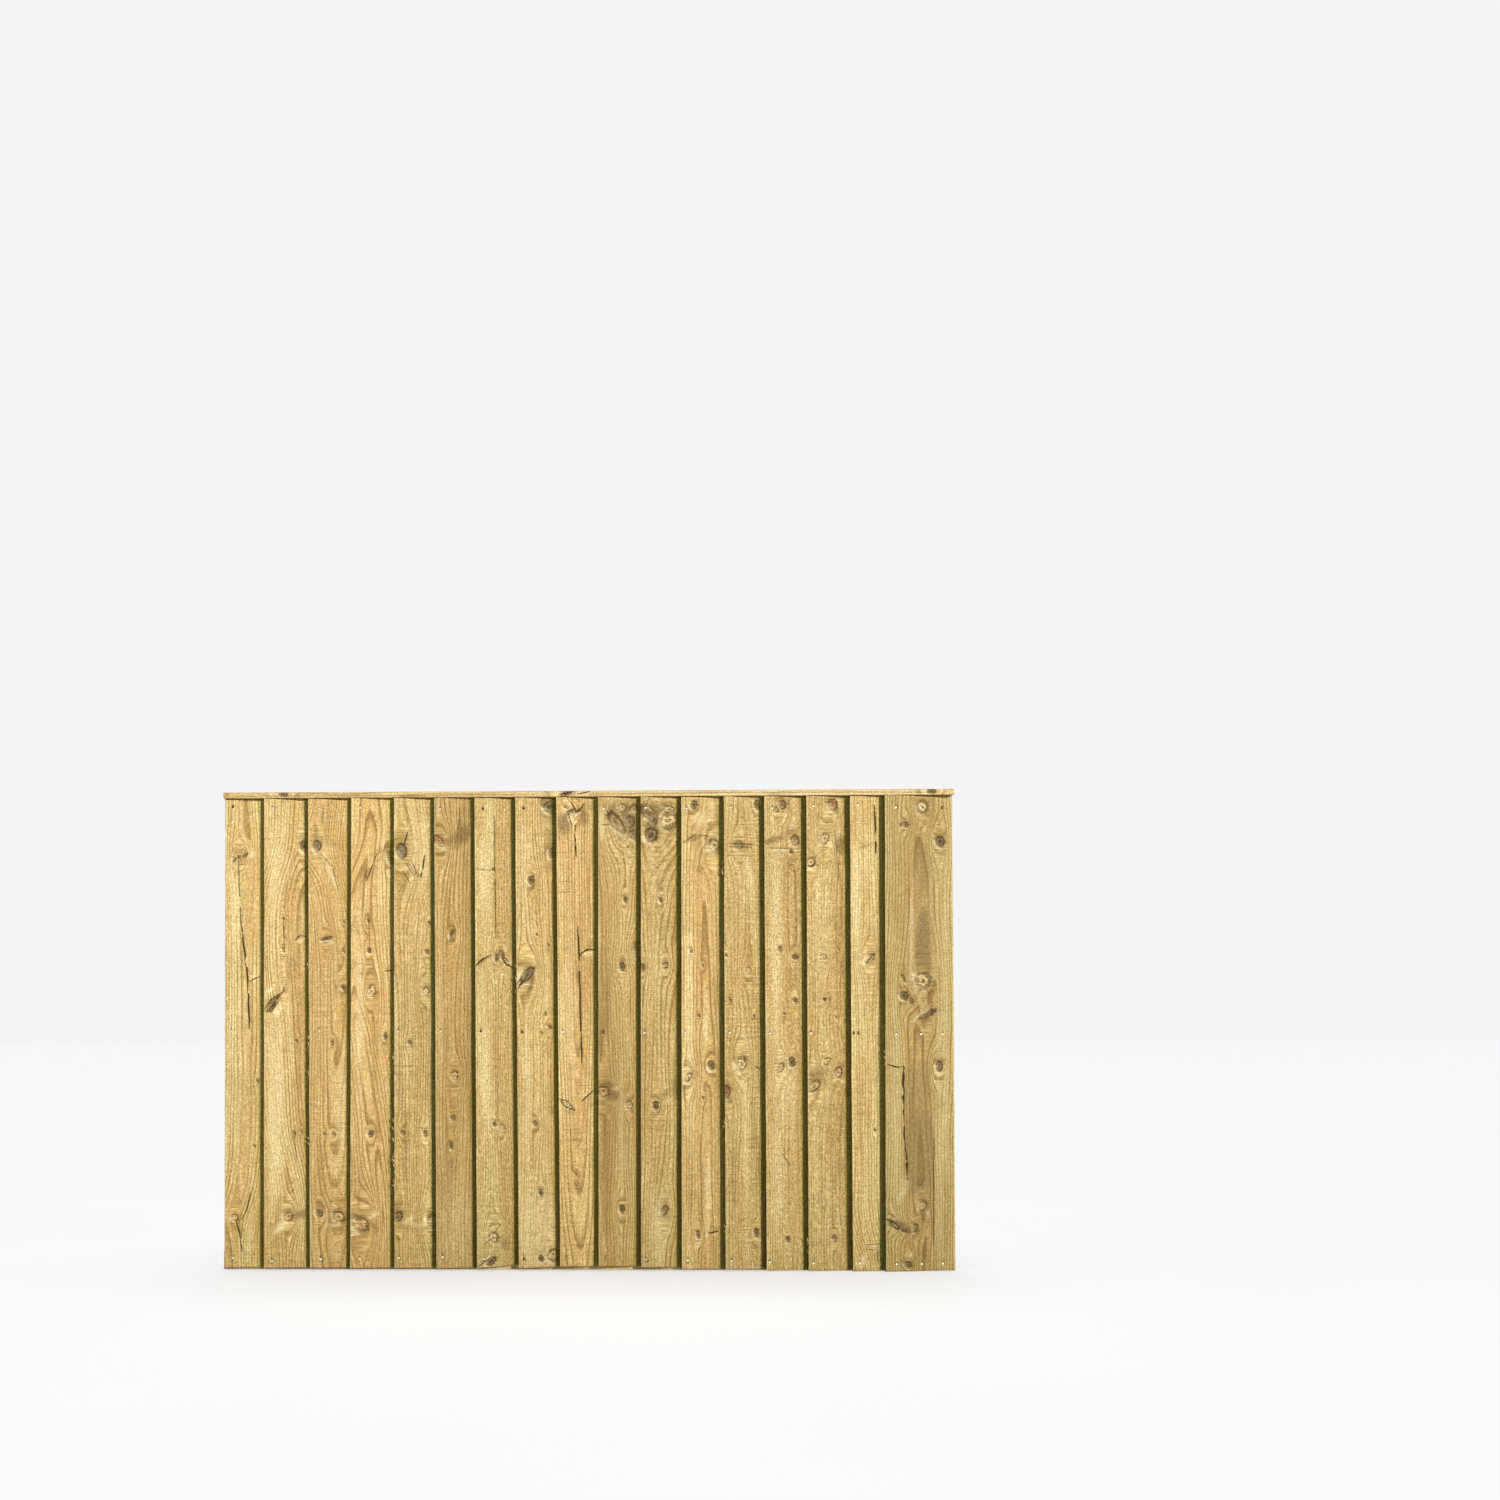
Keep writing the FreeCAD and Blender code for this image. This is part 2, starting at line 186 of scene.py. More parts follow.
BOARDS = (
    timber(
        ((0, 10), (110, 6), (160, 28), (203, 42), (285, 52), (450, 56), (1200, 52)),
        22, 0.00, 6.1, 26, 1.18, 0.08, 0.50, 0.4, 0.5,
        knot(33, 1037, 12, 4, -8, 0.5, 1.0), knot(25, 1034, 3, 9, 40, 0.6, 1.0),
        knot(47, 1041, 4, 9, 60, 0.5, 0.9), darker(38, 1030, 14, 13, 0.6), lighter(64, 1046, 12, 12, 0.7),
        crack(1.8, 0.6, (33, 1032), (36, 940), (39, 866)),
        crack(2.8, 1.0, (38, 880), (50, 790), (57, 725), (61, 605)), darker(46, 840, 10, 150, 0.3, 4),
        crack(2.0, 0.8, (64, 726), (86, 736)), lighter(70, 738, 14, 5, 0.6, -25), pin(82, 472),
        pin(74, 309), darker(82, 420, 3, 60, 0.5), knot(26, 131, 7, 7, 20, 0.3, 0.5, 0.3),
        darker(26, 132, 20, 9, 0.45), lighter(14, 128, 8, 7, 0.8),
        crack(2.2, 0.9, (28, 124), (38, 88), (44, 46)), darker(44, 96, 8, 30, 0.4, -10),
        crack(1.8, 0.8, (66, 196), (54, 150), (42, 126)), darker(90, 110, 9, 60, 0.25),
        lighter(30, 500, 18, 200, 0.15), lighter(22, 900, 18, 140, 0.3), lighter(90, 560, 8, 120, 0.3),
        darker(50, 440, 60, 170, 0.14),
    ),
    timber(
        ((200, 165), (306, 142), (367, 130), (490, 123), (624, 114), (710, 103), (873, 95), (963, 100),
         (1065, 134)),
        30, 0.02, 7.0, 54, 1.08, 0.25, 0.14, 0.3, 0.4,
        knot(99, 1065, 8, 12, 0, 0.4, 1.0), darker(92, 1068, 16, 12, 0.7),
        darker(76, 1034, 5, 40, 0.6, 24), darker(54, 960, 5, 60, 0.5, 12),
        lighter(30, 1000, 22, 150, 0.4), darker(96, 1160, 8, 40, 0.4), pin(48, 881),
        crack(1.2, 0.6, (48, 878), (50, 808)), knot(48, 803, 3, 6, 0, 0.8, 0.7), pin(52, 708),
        stain(22, 672, 14, 27, 44, sharp=0.2, brown=1.0), knot(50, 706, 3.5, 5, 40, 0.3, 0.8),
        darker(36, 686, 6, 20, 0.8, 50), crack(3.0, 0.9, (8, 646), (24, 666), (48, 700)),
        crack(2.2, 0.8, (2, 654), (18, 678), (38, 692)), crack(2.2, 0.8, (16, 644), (34, 672)),
        lighter(12, 700, 8, 20, 0.8, 50), lighter(36, 650, 16, 30, 0.9, 30),
        crack(2.6, 0.9, (78, 828), (88, 838), (104, 838)), lighter(90, 826, 15, 6, 0.9, -12),
        darker(72, 760, 22, 60, 0.3), pin(81, 573), pin(75, 342), knot(92, 345, 3, 4, 0, 0.4, 0.6),
        crack(1.2, 0.4, (75, 340), (80, 268)), knot(60, 134, 10, 10, 30, 0.2, 0.5, 0.3),
        darker(88, 140, 27, 13, 0.85, -10), darker(50, 152, 26, 8, 0.35, 20),
        lighter(42, 108, 12, 26, 1.0, 44), stain(30, 400, 22, 260, sharp=0.5, pale=0.6),
        darker(84, 470, 12, 120, 0.3), darker(86, 620, 9, 110, 0.35),
    ),
    timber(
        ((0, 62), (420, 62), (800, 78), (943, 62), (1005, 40), (1045, 20), (1080, 22), (1200, 44)),
        20, -0.05, 6.7, 90, 1.12, 0.22, 0.15, 0.7, 0.6,
        knot(22, 1064, 8, 12, 0, 0.0, 0.8), stain(23, 1072, 13, 26, brown=0.4, grey=0.6),
        darker(20, 1102, 7, 26, 0.7), darker(50, 1140, 6, 60, 0.5), lighter(38, 1042, 20, 5, 0.8, 38),
        crack(1.0, 0.4, (30, 1046), (60, 1012), (74, 950)), lighter(58, 990, 6, 50, 0.7, -24),
        darker(48, 1110, 8, 46, 0.45), knot(44, 831, 11, 4, -20, 0.4, 1.0), darker(36, 824, 22, 9, 0.4),
        lighter(54, 822, 12, 6, 0.7), pin(88, 873), pin(87, 799), knot(86, 707, 4.5, 6, 0, 0.3, 1.0),
        darker(84, 650, 5, 60, 0.3), knot(57, 567, 4, 5, 30, 0.4, 0.8), pin(36, 341),
        knot(60, 340, 4, 5, 0, 0.4, 0.6), lighter(70, 330, 16, 8, 0.5),
        knot(24, 143, 8, 7, 40, 0.3, 0.85), darker(26, 156, 14, 18, 0.7, -10),
        lighter(36, 136, 10, 6, 0.8), knot(72, 134, 12, 10, 30, 0.3, 0.45, 0.3),
        darker(72, 150, 20, 8, 0.5, 10), lighter(60, 112, 34, 6, 0.6), darker(24, 560, 12, 120, 0.25),
        darker(30, 250, 14, 90, 0.3), lighter(78, 400, 15, 200, 0.5), darker(50, 750, 60, 170, 0.16),
    ),
    timber(
        ((0, 74), (200, 66), (365, 54), (610, 24), (900, 14), (1000, 30), (1060, 56), (1200, 44)),
        24, 0.05, 6.7, 62, 1.15, 0.30, 0.12, 0.4, 0.4,
        knot(100, 1037, 8, 14, 0, 0.4, 1.0), darker(95, 1046, 19, 46, 0.9, 10),
        darker(72, 1052, 16, 12, 0.6), darker(66, 1020, 8, 40, 0.4, 24),
        crack(2.2, 0.8, (40, 978), (50, 1008), (64, 1044)), crack(1.8, 0.8, (34, 985), (40, 1006)),
        darker(38, 984, 6, 14, 0.7, 20), knot(43, 876, 3, 6, 0, 0.4, 1.0),
        crack(1.0, 0.4, (44, 870), (46, 806)), knot(45, 801, 4, 6, 0, 0.4, 1.0),
        knot(52, 700, 9, 12, 0, 0.1, 0.5, 0.5), darker(52, 700, 14, 20, 0.3),
        crack(2.6, 1.0, (86, 749), (106, 752)), darker(94, 754, 12, 5, 0.5),
        knot(86, 585, 4, 7, 10, 0.4, 0.9), crack(0.9, 0.3, (10, 768), (52, 766)),
        crack(0.9, 0.3, (14, 742), (60, 741)), knot(50, 341, 6, 7, 40, 0.4, 1.0),
        lighter(46, 330, 9, 9, 0.6), knot(25, 117, 20, 14, 30, 0.7, 0.55, 0.2),
        darker(24, 118, 26, 22, 0.35), lighter(10, 92, 14, 7, 1.0), lighter(56, 136, 22, 6, 0.7, -30),
        darker(62, 106, 24, 7, 0.7, 30), darker(22, 210, 6, 90, 0.45), darker(60, 520, 8, 200, 0.25),
        lighter(22, 640, 14, 300, 0.45),
    ),
    timber(
        ((0, -15), (880, -12), (960, 6), (1020, 20), (1200, 6)),
        34, 0.03, 6.4, 10, 1.01, 0.45, 0.10, 0.6, 0.6,
        knot(19, 1049, 11, 16, 0, 0.0, 0.76), stain(19, 1050, 14, 20, grey=0.7),
        crack(2.2, 1.0, (24, 1066), (34, 1098)), darker(48, 1000, 14, 40, 0.25, -28),
        crack(1.2, 0.7, (30, 1020), (48, 990)), crack(1.2, 0.7, (44, 1024), (62, 985)),
        crack(1.2, 0.6, (22, 1002), (40, 968)), crack(3.4, 1.0, (75, 1038), (72, 1010)),
        crack(2.2, 1.0, (74, 1012), (66, 985)), lighter(78, 1000, 8, 34, 0.5), pin(87, 870),
        knot(82, 797, 4, 5, 0, 0.4, 0.8), knot(79, 698, 7, 9, 0, 0.1, 0.5, 0.5),
        darker(79, 696, 12, 15, 0.3), knot(39, 568, 4, 5, 0, 0.2, 0.8), knot(22, 343, 5, 6, 0, 0.4, 0.8),
        knot(77, 340, 4, 7, 0, 0.4, 0.7), knot(9, 134, 9, 11, 30, 0.3, 0.85),
        darker(12, 142, 18, 18, 0.8), lighter(34, 124, 20, 7, 0.9, -40),
        knot(95, 124, 11, 14, 0, 0.7, 0.5, 0.3), darker(88, 146, 12, 9, 0.6),
        lighter(60, 112, 26, 6, 0.6), darker(60, 105, 40, 4, 0.4), darker(14, 480, 12, 120, 0.5),
        darker(30, 300, 12, 120, 0.4), darker(86, 520, 10, 200, 0.25), darker(50, 640, 60, 280, 0.22),
        lighter(62, 1070, 40, 130, 0.3),
    ),
    timber(
        120, 24, 0.04, 8.1, 400, 0.94, 0.60, 0.02, 0.2, 0.5,
        knot(12, 1074, 8, 14, -40, 1.0, 0.5), darker(20, 1082, 8, 20, 0.8, -40),
        lighter(26, 1056, 12, 8, 0.7), darker(72, 1092, 24, 44, 1.0, 20),
        darker(44, 1080, 10, 40, 0.8, 30), darker(76, 1150, 14, 30, 0.5),
        crack(1.4, 0.5, (64, 1160), (60, 1110), (50, 1060)), darker(80, 1030, 10, 50, 0.4),
        knot(41, 841, 4, 9, 20, 0.4, 0.9), darker(44, 830, 9, 40, 0.4, 10),
        darker(60, 870, 5, 40, 0.3, 20), knot(48, 487, 7, 10, 0, 0.4, 0.5, 0.3),
        darker(48, 486, 13, 18, 0.3), knot(43, 381, 5, 6, 0, 0.2, 0.8), stain(40, 376, 9, 10, grey=0.4),
        knot(38, 311, 3, 7, 0, 0.4, 1.0), darker(30, 240, 12, 200, 0.4), darker(84, 620, 12, 400, 0.35),
        darker(90, 260, 8, 150, 0.3), darker(30, 560, 14, 120, 0.3), lighter(14, 700, 7, 300, 0.35),
        lighter(62, 360, 9, 150, 0.15), darker(50, 470, 60, 130, 0.18), lighter(50, 110, 70, 150, 0.28),
    ),
    timber(
        112, 20, 0.01, 5.8, 62, 1.02, 0.15, 0.45, 0.3, 1.1,
        crack(3.0, 1.0, (2, 762), (18, 778), (38, 788)), darker(18, 772, 7, 22, 0.5, 54),
        knot(53, 780, 4, 8, 10, 0.4, 0.9), knot(66, 790, 5, 10, -20, 0.4, 0.8),
        darker(60, 800, 14, 26, 0.45), crack(2.6, 1.0, (66, 782), (76, 766), (96, 757)),
        crack(1.4, 0.8, (70, 786), (84, 772)), lighter(82, 770, 7, 16, 1.0, -60),
        crack(1.2, 0.6, (51, 1140), (50, 1010), (52, 830)), pin(47, 1003), darker(52, 960, 8, 160, 0.35),
        crack(1.0, 0.5, (4, 1004), (44, 1001)), knot(45, 365, 3, 5, 0, 0.4, 0.9),
        knot(65, 358, 6, 6, 0, 0.3, 0.5, 0.4), lighter(60, 354, 18, 9, 0.6),
        knot(42, 84, 12, 10, 40, 0.2, 0.5, 0.6), crack(1.6, 0.7, (20, 66), (38, 80)),
        crack(1.4, 0.5, (40, 92), (62, 116)), darker(68, 66, 16, 24, 0.6),
        stain(24, 60, 16, 18, grey=0.35), knot(36, 24, 7, 12, 50, 0.3, 0.9),
        darker(20, 14, 14, 7, 0.4, 60), crack(1.6, 0.8, (2, 10), (34, 32)),
        lighter(22, 1000, 18, 140, 0.6), lighter(22, 480, 18, 200, 0.5), darker(52, 520, 6, 300, 0.35),
    ),
    timber(
        122, 20, 0.02, 7.0, 52, 1.00, 0.60, 0.05, 0.4, 0.4,
        knot(86, 1160, 12, 12, 0, 0.0, 0.9), stain(84, 1160, 22, 30, brown=1.0, grey=0.4),
        knot(92, 1046, 7, 12, 20, 0.8, 0.9), darker(86, 1054, 16, 26, 0.9, 20),
        darker(86, 1100, 10, 40, 0.3), knot(38, 977, 7, 8, 20, 0.3, 1.0), darker(40, 970, 12, 14, 0.3),
        pin(52, 840), pin(81, 813), knot(26, 738, 9, 20, 40, 0.1, 0.8),
        stain(28, 738, 15, 24, 40, brown=0.6, grey=0.3), crack(2.6, 1.0, (4, 704), (16, 722), (30, 740)),
        crack(1.6, 0.8, (2, 716), (14, 734)), lighter(8, 740, 7, 14, 0.8, 40), pin(72, 642),
        knot(82, 608, 5, 4, 20, 0.5, 0.9), darker(76, 612, 12, 7, 0.5), pin(62, 592),
        knot(44, 366, 5, 6, 0, 0.3, 0.8), darker(50, 364, 16, 8, 0.3), darker(88, 396, 12, 14, 0.6),
        knot(56, 193, 4, 7, 0, 0.4, 1.0), knot(55, 30, 5.5, 7, 0, 0.3, 1.0),
        knot(86, 38, 12, 13, 0, 0.3, 0.5, 0.2), lighter(24, 480, 12, 260, 0.5),
        lighter(24, 1000, 14, 150, 0.5), lighter(50, 110, 90, 170, 0.6),
    ),
    timber(
        50, 16, -0.04, 6.7, 34, 1.14, 0.28, 0.18, 0.5, 0.4,
        knot(52, 1150, 8, 5, -30, 0.2, 1.0), knot(38, 1151, 3, 16, 76, 0.2, 1.0),
        knot(24, 1150, 4, 8, 50, 0.1, 0.3, 1.0), stain(20, 1118, 22, 30, brown=1.0, grey=0.4),
        lighter(40, 1126, 10, 22, 0.8, -16), crack(2.0, 1.0, (56, 1150), (70, 1166)),
        crack(2.0, 1.0, (50, 1148), (38, 1172)), crack(1.8, 0.8, (28, 1146), (38, 1118), (44, 1100)),
        darker(70, 1140, 16, 36, 1.0), darker(86, 1160, 14, 20, 0.6),
        crack(2.8, 1.0, (47, 1114), (46, 1090), (49, 1035)),
        crack(2.4, 1.0, (52, 858), (54, 781), (57, 600), (59, 519)), darker(56, 700, 5, 190, 0.4),
        stain(24, 804, 16, 8, -6, grey=0.7, brown=0.3), crack(2.6, 1.0, (55, 788), (72, 801), (98, 803)),
        lighter(80, 792, 20, 5, 0.8), darker(88, 820, 14, 14, 0.4),
        stain(22, 413, 5, 18, 122, sharp=0.4, pale=1.0), crack(1.6, 0.8, (2, 428), (20, 424), (40, 402)),
        crack(1.8, 0.9, (4, 424), (18, 408), (40, 398)), darker(24, 398, 5, 20, 0.6, 118),
        crack(2.6, 1.0, (58, 422), (85, 447)), lighter(64, 440, 12, 7, 0.6, 50),
        darker(84, 420, 14, 20, 0.3), pin(42, 240), darker(88, 150, 14, 24, 0.3),
        lighter(30, 640, 18, 300, 0.3), darker(80, 900, 5, 160, 0.4), darker(56, 780, 60, 190, 0.16),
        crack(0.9, 0.3, (2, 972), (48, 970)), crack(0.9, 0.3, (2, 944), (46, 946)),
    ),
    timber(
        8, 20, 0.00, 6.1, 38, 0.90, 0.75, 0.08, 0.3, 0.6,
        stain(68, 1128, 40, 52, brown=0.95, sharp=0.4), lighter(10, 1120, 8, 50, 0.8),
        knot(46, 1120, 11, 27, -38, 0.2, 0.65, 0.1), knot(80, 1122, 10, 13, 20, 0.2, 0.75),
        knot(88, 1090, 9, 10, 0, 0.3, 0.7), knot(61, 1158, 9, 8, 40, 0.2, 0.4, 0.5),
        darker(28, 1156, 10, 16, 0.5), knot(92, 1152, 9, 12, -30, 0.2, 0.6, 0.2),
        crack(1.6, 0.8, (24, 1136), (34, 1146), (44, 1140)), lighter(56, 1138, 5, 20, 0.7, -38),
        darker(84, 1060, 20, 16, 0.5), crack(1.2, 0.6, (6, 1114), (34, 1116)),
        knot(68, 926, 4, 6, 0, 0.4, 0.9), lighter(62, 918, 8, 6, 0.6), darker(20, 802, 18, 8, 0.4),
        knot(60, 758, 5.5, 9, 0, 0.4, 0.9), darker(60, 774, 8, 20, 0.4),
        knot(96, 800, 5, 14, 0, 0.3, 0.7), darker(98, 768, 9, 26, 0.8),
        knot(13, 447, 13, 11, 20, 0.8, 0.4, 0.2), darker(22, 464, 28, 18, 0.85),
        darker(38, 436, 20, 19, 1.0, -20), lighter(44, 454, 14, 5, 0.5), darker(62, 452, 20, 8, 0.5),
        knot(78, 413, 7, 9, 0, 0.2, 0.5, 0.3), knot(59, 153, 6, 9, 0, 0.3, 1.0),
        lighter(60, 150, 12, 18, 0.4), darker(60, 132, 6, 14, 0.5), darker(20, 300, 16, 260, 0.6),
        darker(20, 650, 18, 150, 0.55), lighter(58, 300, 6, 300, 0.35), darker(50, 400, 70, 240, 0.28),
    ),
    timber(
        110, 70, 0.03, 6.4, 8, 0.91, 0.50, 0.12, 0.4, 0.6,
        stain(48, 1130, 60, 44, brown=0.9, sharp=0.4), knot(19, 1144, 12, 20, -50, 0.2, 0.8),
        knot(22, 1152, 4, 12, -50, 0.1, 0.3, 0.9), knot(34, 1126, 7, 12, 10, 0.2, 0.9),
        knot(70, 1126, 17, 20, 40, 0.1, 0.45, 0.5), lighter(54, 1140, 5, 18, 0.7, 40),
        knot(72, 1154, 13, 7, 20, 0.1, 0.4, 0.4), lighter(58, 1100, 10, 12, 0.5),
        crack(1.4, 0.6, (60, 1108), (76, 1096)), knot(26, 1088, 13, 15, 0, 0.2, 0.9),
        darker(26, 1088, 21, 23, 0.9), darker(66, 1080, 12, 20, 0.3), knot(50, 925, 3.5, 6, 0, 0.4, 0.9),
        lighter(46, 918, 7, 6, 0.5), knot(61, 761, 6, 7, 20, 0.3, 0.6),
        darker(62, 790, 12, 34, 0.35, -10), knot(2, 756, 6, 7, 0, 0.5, 0.7), darker(4, 758, 15, 17, 0.9),
        knot(37, 411, 6, 9, 0, 0.3, 1.0), darker(92, 462, 20, 42, 1.0, 10),
        darker(60, 440, 9, 28, 0.5, 45), lighter(70, 424, 14, 6, 0.5, -30),
        knot(59, 150, 7, 11, 20, 0.2, 0.65), darker(60, 156, 14, 20, 0.35),
        darker(60, 900, 40, 160, 0.15), darker(10, 560, 8, 340, 0.3), darker(92, 640, 10, 340, 0.35),
        darker(52, 640, 5, 120, 0.35), lighter(30, 1000, 10, 90, 0.4), lighter(44, 100, 30, 120, 0.5),
    ),
    timber(
        62, 16, 0.03, 7.0, 34, 1.08, 0.35, 0.12, 0.3, 0.4,
        knot(32, 1163, 7, 9, 30, 0.4, 0.9), darker(34, 1156, 14, 12, 0.5), lighter(50, 1128, 22, 20, 0.5),
        knot(82, 1062, 12, 14, 0, 0.1, 0.6, 0.3), darker(36, 1080, 40, 12, 0.8, -12),
        darker(82, 1084, 20, 12, 0.6, -20), crack(1.2, 0.5, (2, 1066), (34, 1088), (70, 1086)),
        darker(98, 1050, 13, 70, 0.75), darker(5, 454, 10, 28, 0.8), darker(64, 1040, 6, 40, 0.4, 16),
        crack(1.2, 0.4, (40, 996), (52, 1050), (66, 1078)), pin(24, 796), pin(54, 760),
        lighter(26, 790, 14, 10, 0.5), pin(44, 635), lighter(62, 600, 5, 60, 1.0),
        knot(17, 482, 6, 11, 34, 0.3, 0.45, 0.4), darker(20, 494, 12, 14, 0.5),
        lighter(12, 466, 10, 6, 0.7), knot(74, 511, 7, 10, 0, 0.2, 0.8), lighter(72, 500, 12, 9, 0.6),
        pin(54, 430), knot(41, 90, 4, 8, 0, 0.4, 0.9), crack(2.8, 1.0, (68, 94), (92, 98)),
        darker(82, 104, 14, 12, 0.5), lighter(66, 200, 9, 130, 0.7), lighter(18, 640, 14, 340, 0.45),
        darker(50, 200, 6, 160, 0.4), darker(92, 500, 8, 300, 0.4), darker(20, 240, 12, 160, 0.3),
        darker(60, 1110, 70, 90, 0.2),
    ),
    timber(
        -30, 50, 0.02, 6.4, 20, 0.945, 0.55, 0.08, 1.0, 1.0,
        knot(84, 1164, 6, 9, 0, 0.5, 0.9), darker(84, 1156, 14, 16, 0.6), darker(50, 1140, 20, 20, 0.2),
        knot(38, 1062, 8, 10, 0, 0.1, 0.5, 0.5), crack(1.2, 0.6, (10, 1066), (74, 1064)),
        crack(1.0, 0.5, (14, 1056), (70, 1055)), crack(1.0, 0.3, (8, 1036), (80, 1035)),
        lighter(66, 990, 10, 60, 0.6, -10), darker(24, 920, 22, 70, 0.25), pin(5, 786), pin(15, 673),
        pin(75, 635), knot(62, 748, 6, 8, 0, 0.2, 0.4, 0.4), knot(43, 516, 11, 16, 14, 0.1, 0.3, 0.6),
        lighter(36, 500, 14, 12, 0.5), pin(84, 504), knot(4, 446, 8, 13, 0, 0.9, 0.8),
        darker(10, 436, 14, 22, 0.45), crack(1.0, 0.3, (86, 330), (84, 230)),
        knot(78, 94, 5, 9, 0, 0.4, 0.9), darker(66, 92, 12, 12, 0.3), darker(60, 820, 12, 160, 0.3),
        darker(74, 330, 10, 200, 0.35), darker(20, 250, 12, 180, 0.35), lighter(52, 300, 8, 240, 0.5),
    ),
    timber(
        70, 12, 0.00, 6.1, 20, 0.975, 0.55, 0.10, 0.3, 1.1,
        knot(46, 1162, 8, 9, 20, 0.6, 0.8), darker(46, 1166, 20, 14, 0.6),
        knot(30, 1150, 5, 6, 0, 0.3, 0.5, 0.3), stain(24, 1074, 36, 9, -18, sharp=0.4, brown=1.0),
        darker(60, 1092, 26, 12, 0.4, -20), knot(78, 1074, 9, 11, 0, 0.2, 0.65),
        darker(76, 1074, 16, 20, 0.3), crack(1.4, 0.4, (4, 1054), (84, 1053)),
        lighter(50, 1050, 44, 3, 0.9), knot(68, 1044, 4, 4, 0, 0.6, 0.9), darker(80, 900, 8, 170, 0.5),
        knot(78, 780, 6, 5, -20, 0.4, 0.9), knot(76, 672, 4, 5, 0, 0.4, 0.9), pin(48, 641),
        knot(38, 800, 4, 6, 0, 0.3, 0.6), knot(67, 519, 7, 10, 0, 0.2, 0.9),
        lighter(66, 516, 12, 18, 0.4), knot(38, 506, 7, 11, 30, 0.2, 0.5, 0.4),
        darker(38, 520, 10, 10, 0.4), crack(1.6, 0.7, (44, 290), (60, 262)),
        knot(54, 78, 4, 6, 0, 0.4, 0.8), lighter(28, 800, 20, 300, 0.5), lighter(28, 260, 20, 200, 0.45),
        darker(84, 420, 8, 220, 0.2), darker(50, 1000, 60, 140, 0.18), lighter(52, 440, 40, 150, 0.4),
    ),
    timber(
        86, 12, 0.00, 6.4, 18, 0.94, 0.50, 0.15, 0.5, 1.0,
        knot(68, 1162, 10, 12, 0, 0.9, 0.6), darker(70, 1146, 16, 14, 0.7), lighter(90, 1160, 6, 20, 0.6),
        knot(47, 1077, 9, 13, 24, 0.2, 0.35, 0.6), lighter(60, 1060, 9, 10, 0.6),
        knot(12, 1018, 9, 9, 0, 0.1, 0.5, 0.2), crack(2.4, 1.0, (4, 1010), (12, 1006), (24, 1016)),
        lighter(10, 1000, 9, 6, 0.7), stain(92, 1064, 22, 25, sharp=0.2, brown=0.9),
        darker(80, 1000, 5, 70, 0.4, -10), crack(1.0, 0.3, (72, 1100), (84, 980)), pin(81, 801),
        knot(42, 781, 8, 6, 0, 0.2, 0.4, 0.5), darker(40, 786, 18, 10, 0.3),
        knot(44, 675, 3.5, 4, 0, 0.4, 0.9), knot(56, 675, 3, 4, 0, 0.4, 0.6), pin(74, 630),
        knot(17, 459, 9, 15, 44, 0.4, 0.45, 0.4), lighter(10, 440, 14, 6, 1.0, -34),
        darker(24, 486, 20, 38, 0.75, 40), darker(22, 480, 16, 20, 0.4, -20),
        knot(49, 521, 6, 9, 34, 0.3, 0.35, 0.6), knot(79, 494, 8, 11, 0, 0.5, 0.55, 0.2),
        darker(90, 510, 7, 30, 0.6), lighter(88, 470, 7, 10, 0.8), darker(66, 486, 10, 14, 0.4),
        knot(66, 80, 5, 7, 0, 0.3, 0.6), darker(60, 300, 40, 200, 0.15), lighter(30, 860, 14, 240, 0.4),
        lighter(52, 200, 5, 150, 0.5), darker(34, 200, 7, 160, 0.35), darker(80, 820, 8, 130, 0.35),
    ),
    timber(
        ((0, -20), (60, -40), (150, -60), (1200, -60)),
        40, 0.01, 6.4, 10, 1.09, 0.12, 0.42, 0.5, 0.6,
        crack(2.6, 1.0, (63, 1160), (65, 1100), (65, 1040)), darker(38, 1058, 6, 22, 0.7, 70),
        knot(48, 777, 6, 13, 50, 0.1, 0.6, 0.4), crack(1.8, 0.8, (38, 764), (60, 790)),
        lighter(30, 766, 18, 6, 0.7), darker(60, 760, 10, 10, 0.4), pin(58, 350),
        lighter(60, 340, 7, 8, 0.7), darker(20, 420, 12, 70, 0.25), darker(24, 300, 3, 200, 0.4),
        darker(44, 340, 3, 240, 0.35), crack(1.2, 0.6, (32, 66), (66, 67)),
        crack(1.2, 0.5, (34, 54), (62, 55)), lighter(50, 61, 18, 4, 1.0),
        crack(1.6, 0.6, (62, 48), (64, 22)), lighter(24, 24, 14, 18, 0.8, 20),
        darker(40, 34, 4, 24, 0.5, 30), darker(60, 40, 7, 16, 0.6), lighter(14, 950, 10, 150, 0.6),
        darker(70, 700, 5, 300, 0.3), darker(50, 740, 60, 170, 0.16),
    ),
    timber(
        ((0, 92), (480, 92), (1200, 96)),
        22, 0.02, 7.0, 40, 0.87, 0.12, 0.50, 0.3, 0.5,
        knot(53, 1111, 6, 6, 0, 0.3, 0.8), pin(40, 1110), knot(96, 1155, 12, 14, 20, 0.1, 0.35, 0.5),
        knot(141, 1069, 9, 12, 0, 0.3, 0.9), stain(148, 1050, 10, 26, sharp=0.2, brown=0.4),
        stain(98, 816, 24, 100, sharp=0.4, brown=0.75, grey=0.4),
        stain(96, 1000, 26, 110, brown=0.35, grey=0.3), lighter(68, 860, 6, 130, 0.6, 2),
        knot(96, 721, 17, 19, 34, 0.1, 0.35, 0.5), darker(96, 724, 28, 30, 0.5),
        knot(46, 728, 3, 8, -20, 0.4, 0.8), knot(48, 684, 8, 9, 0, 0.2, 0.95),
        darker(46, 700, 20, 24, 0.35), knot(66, 671, 5, 6, 30, 0.3, 0.8),
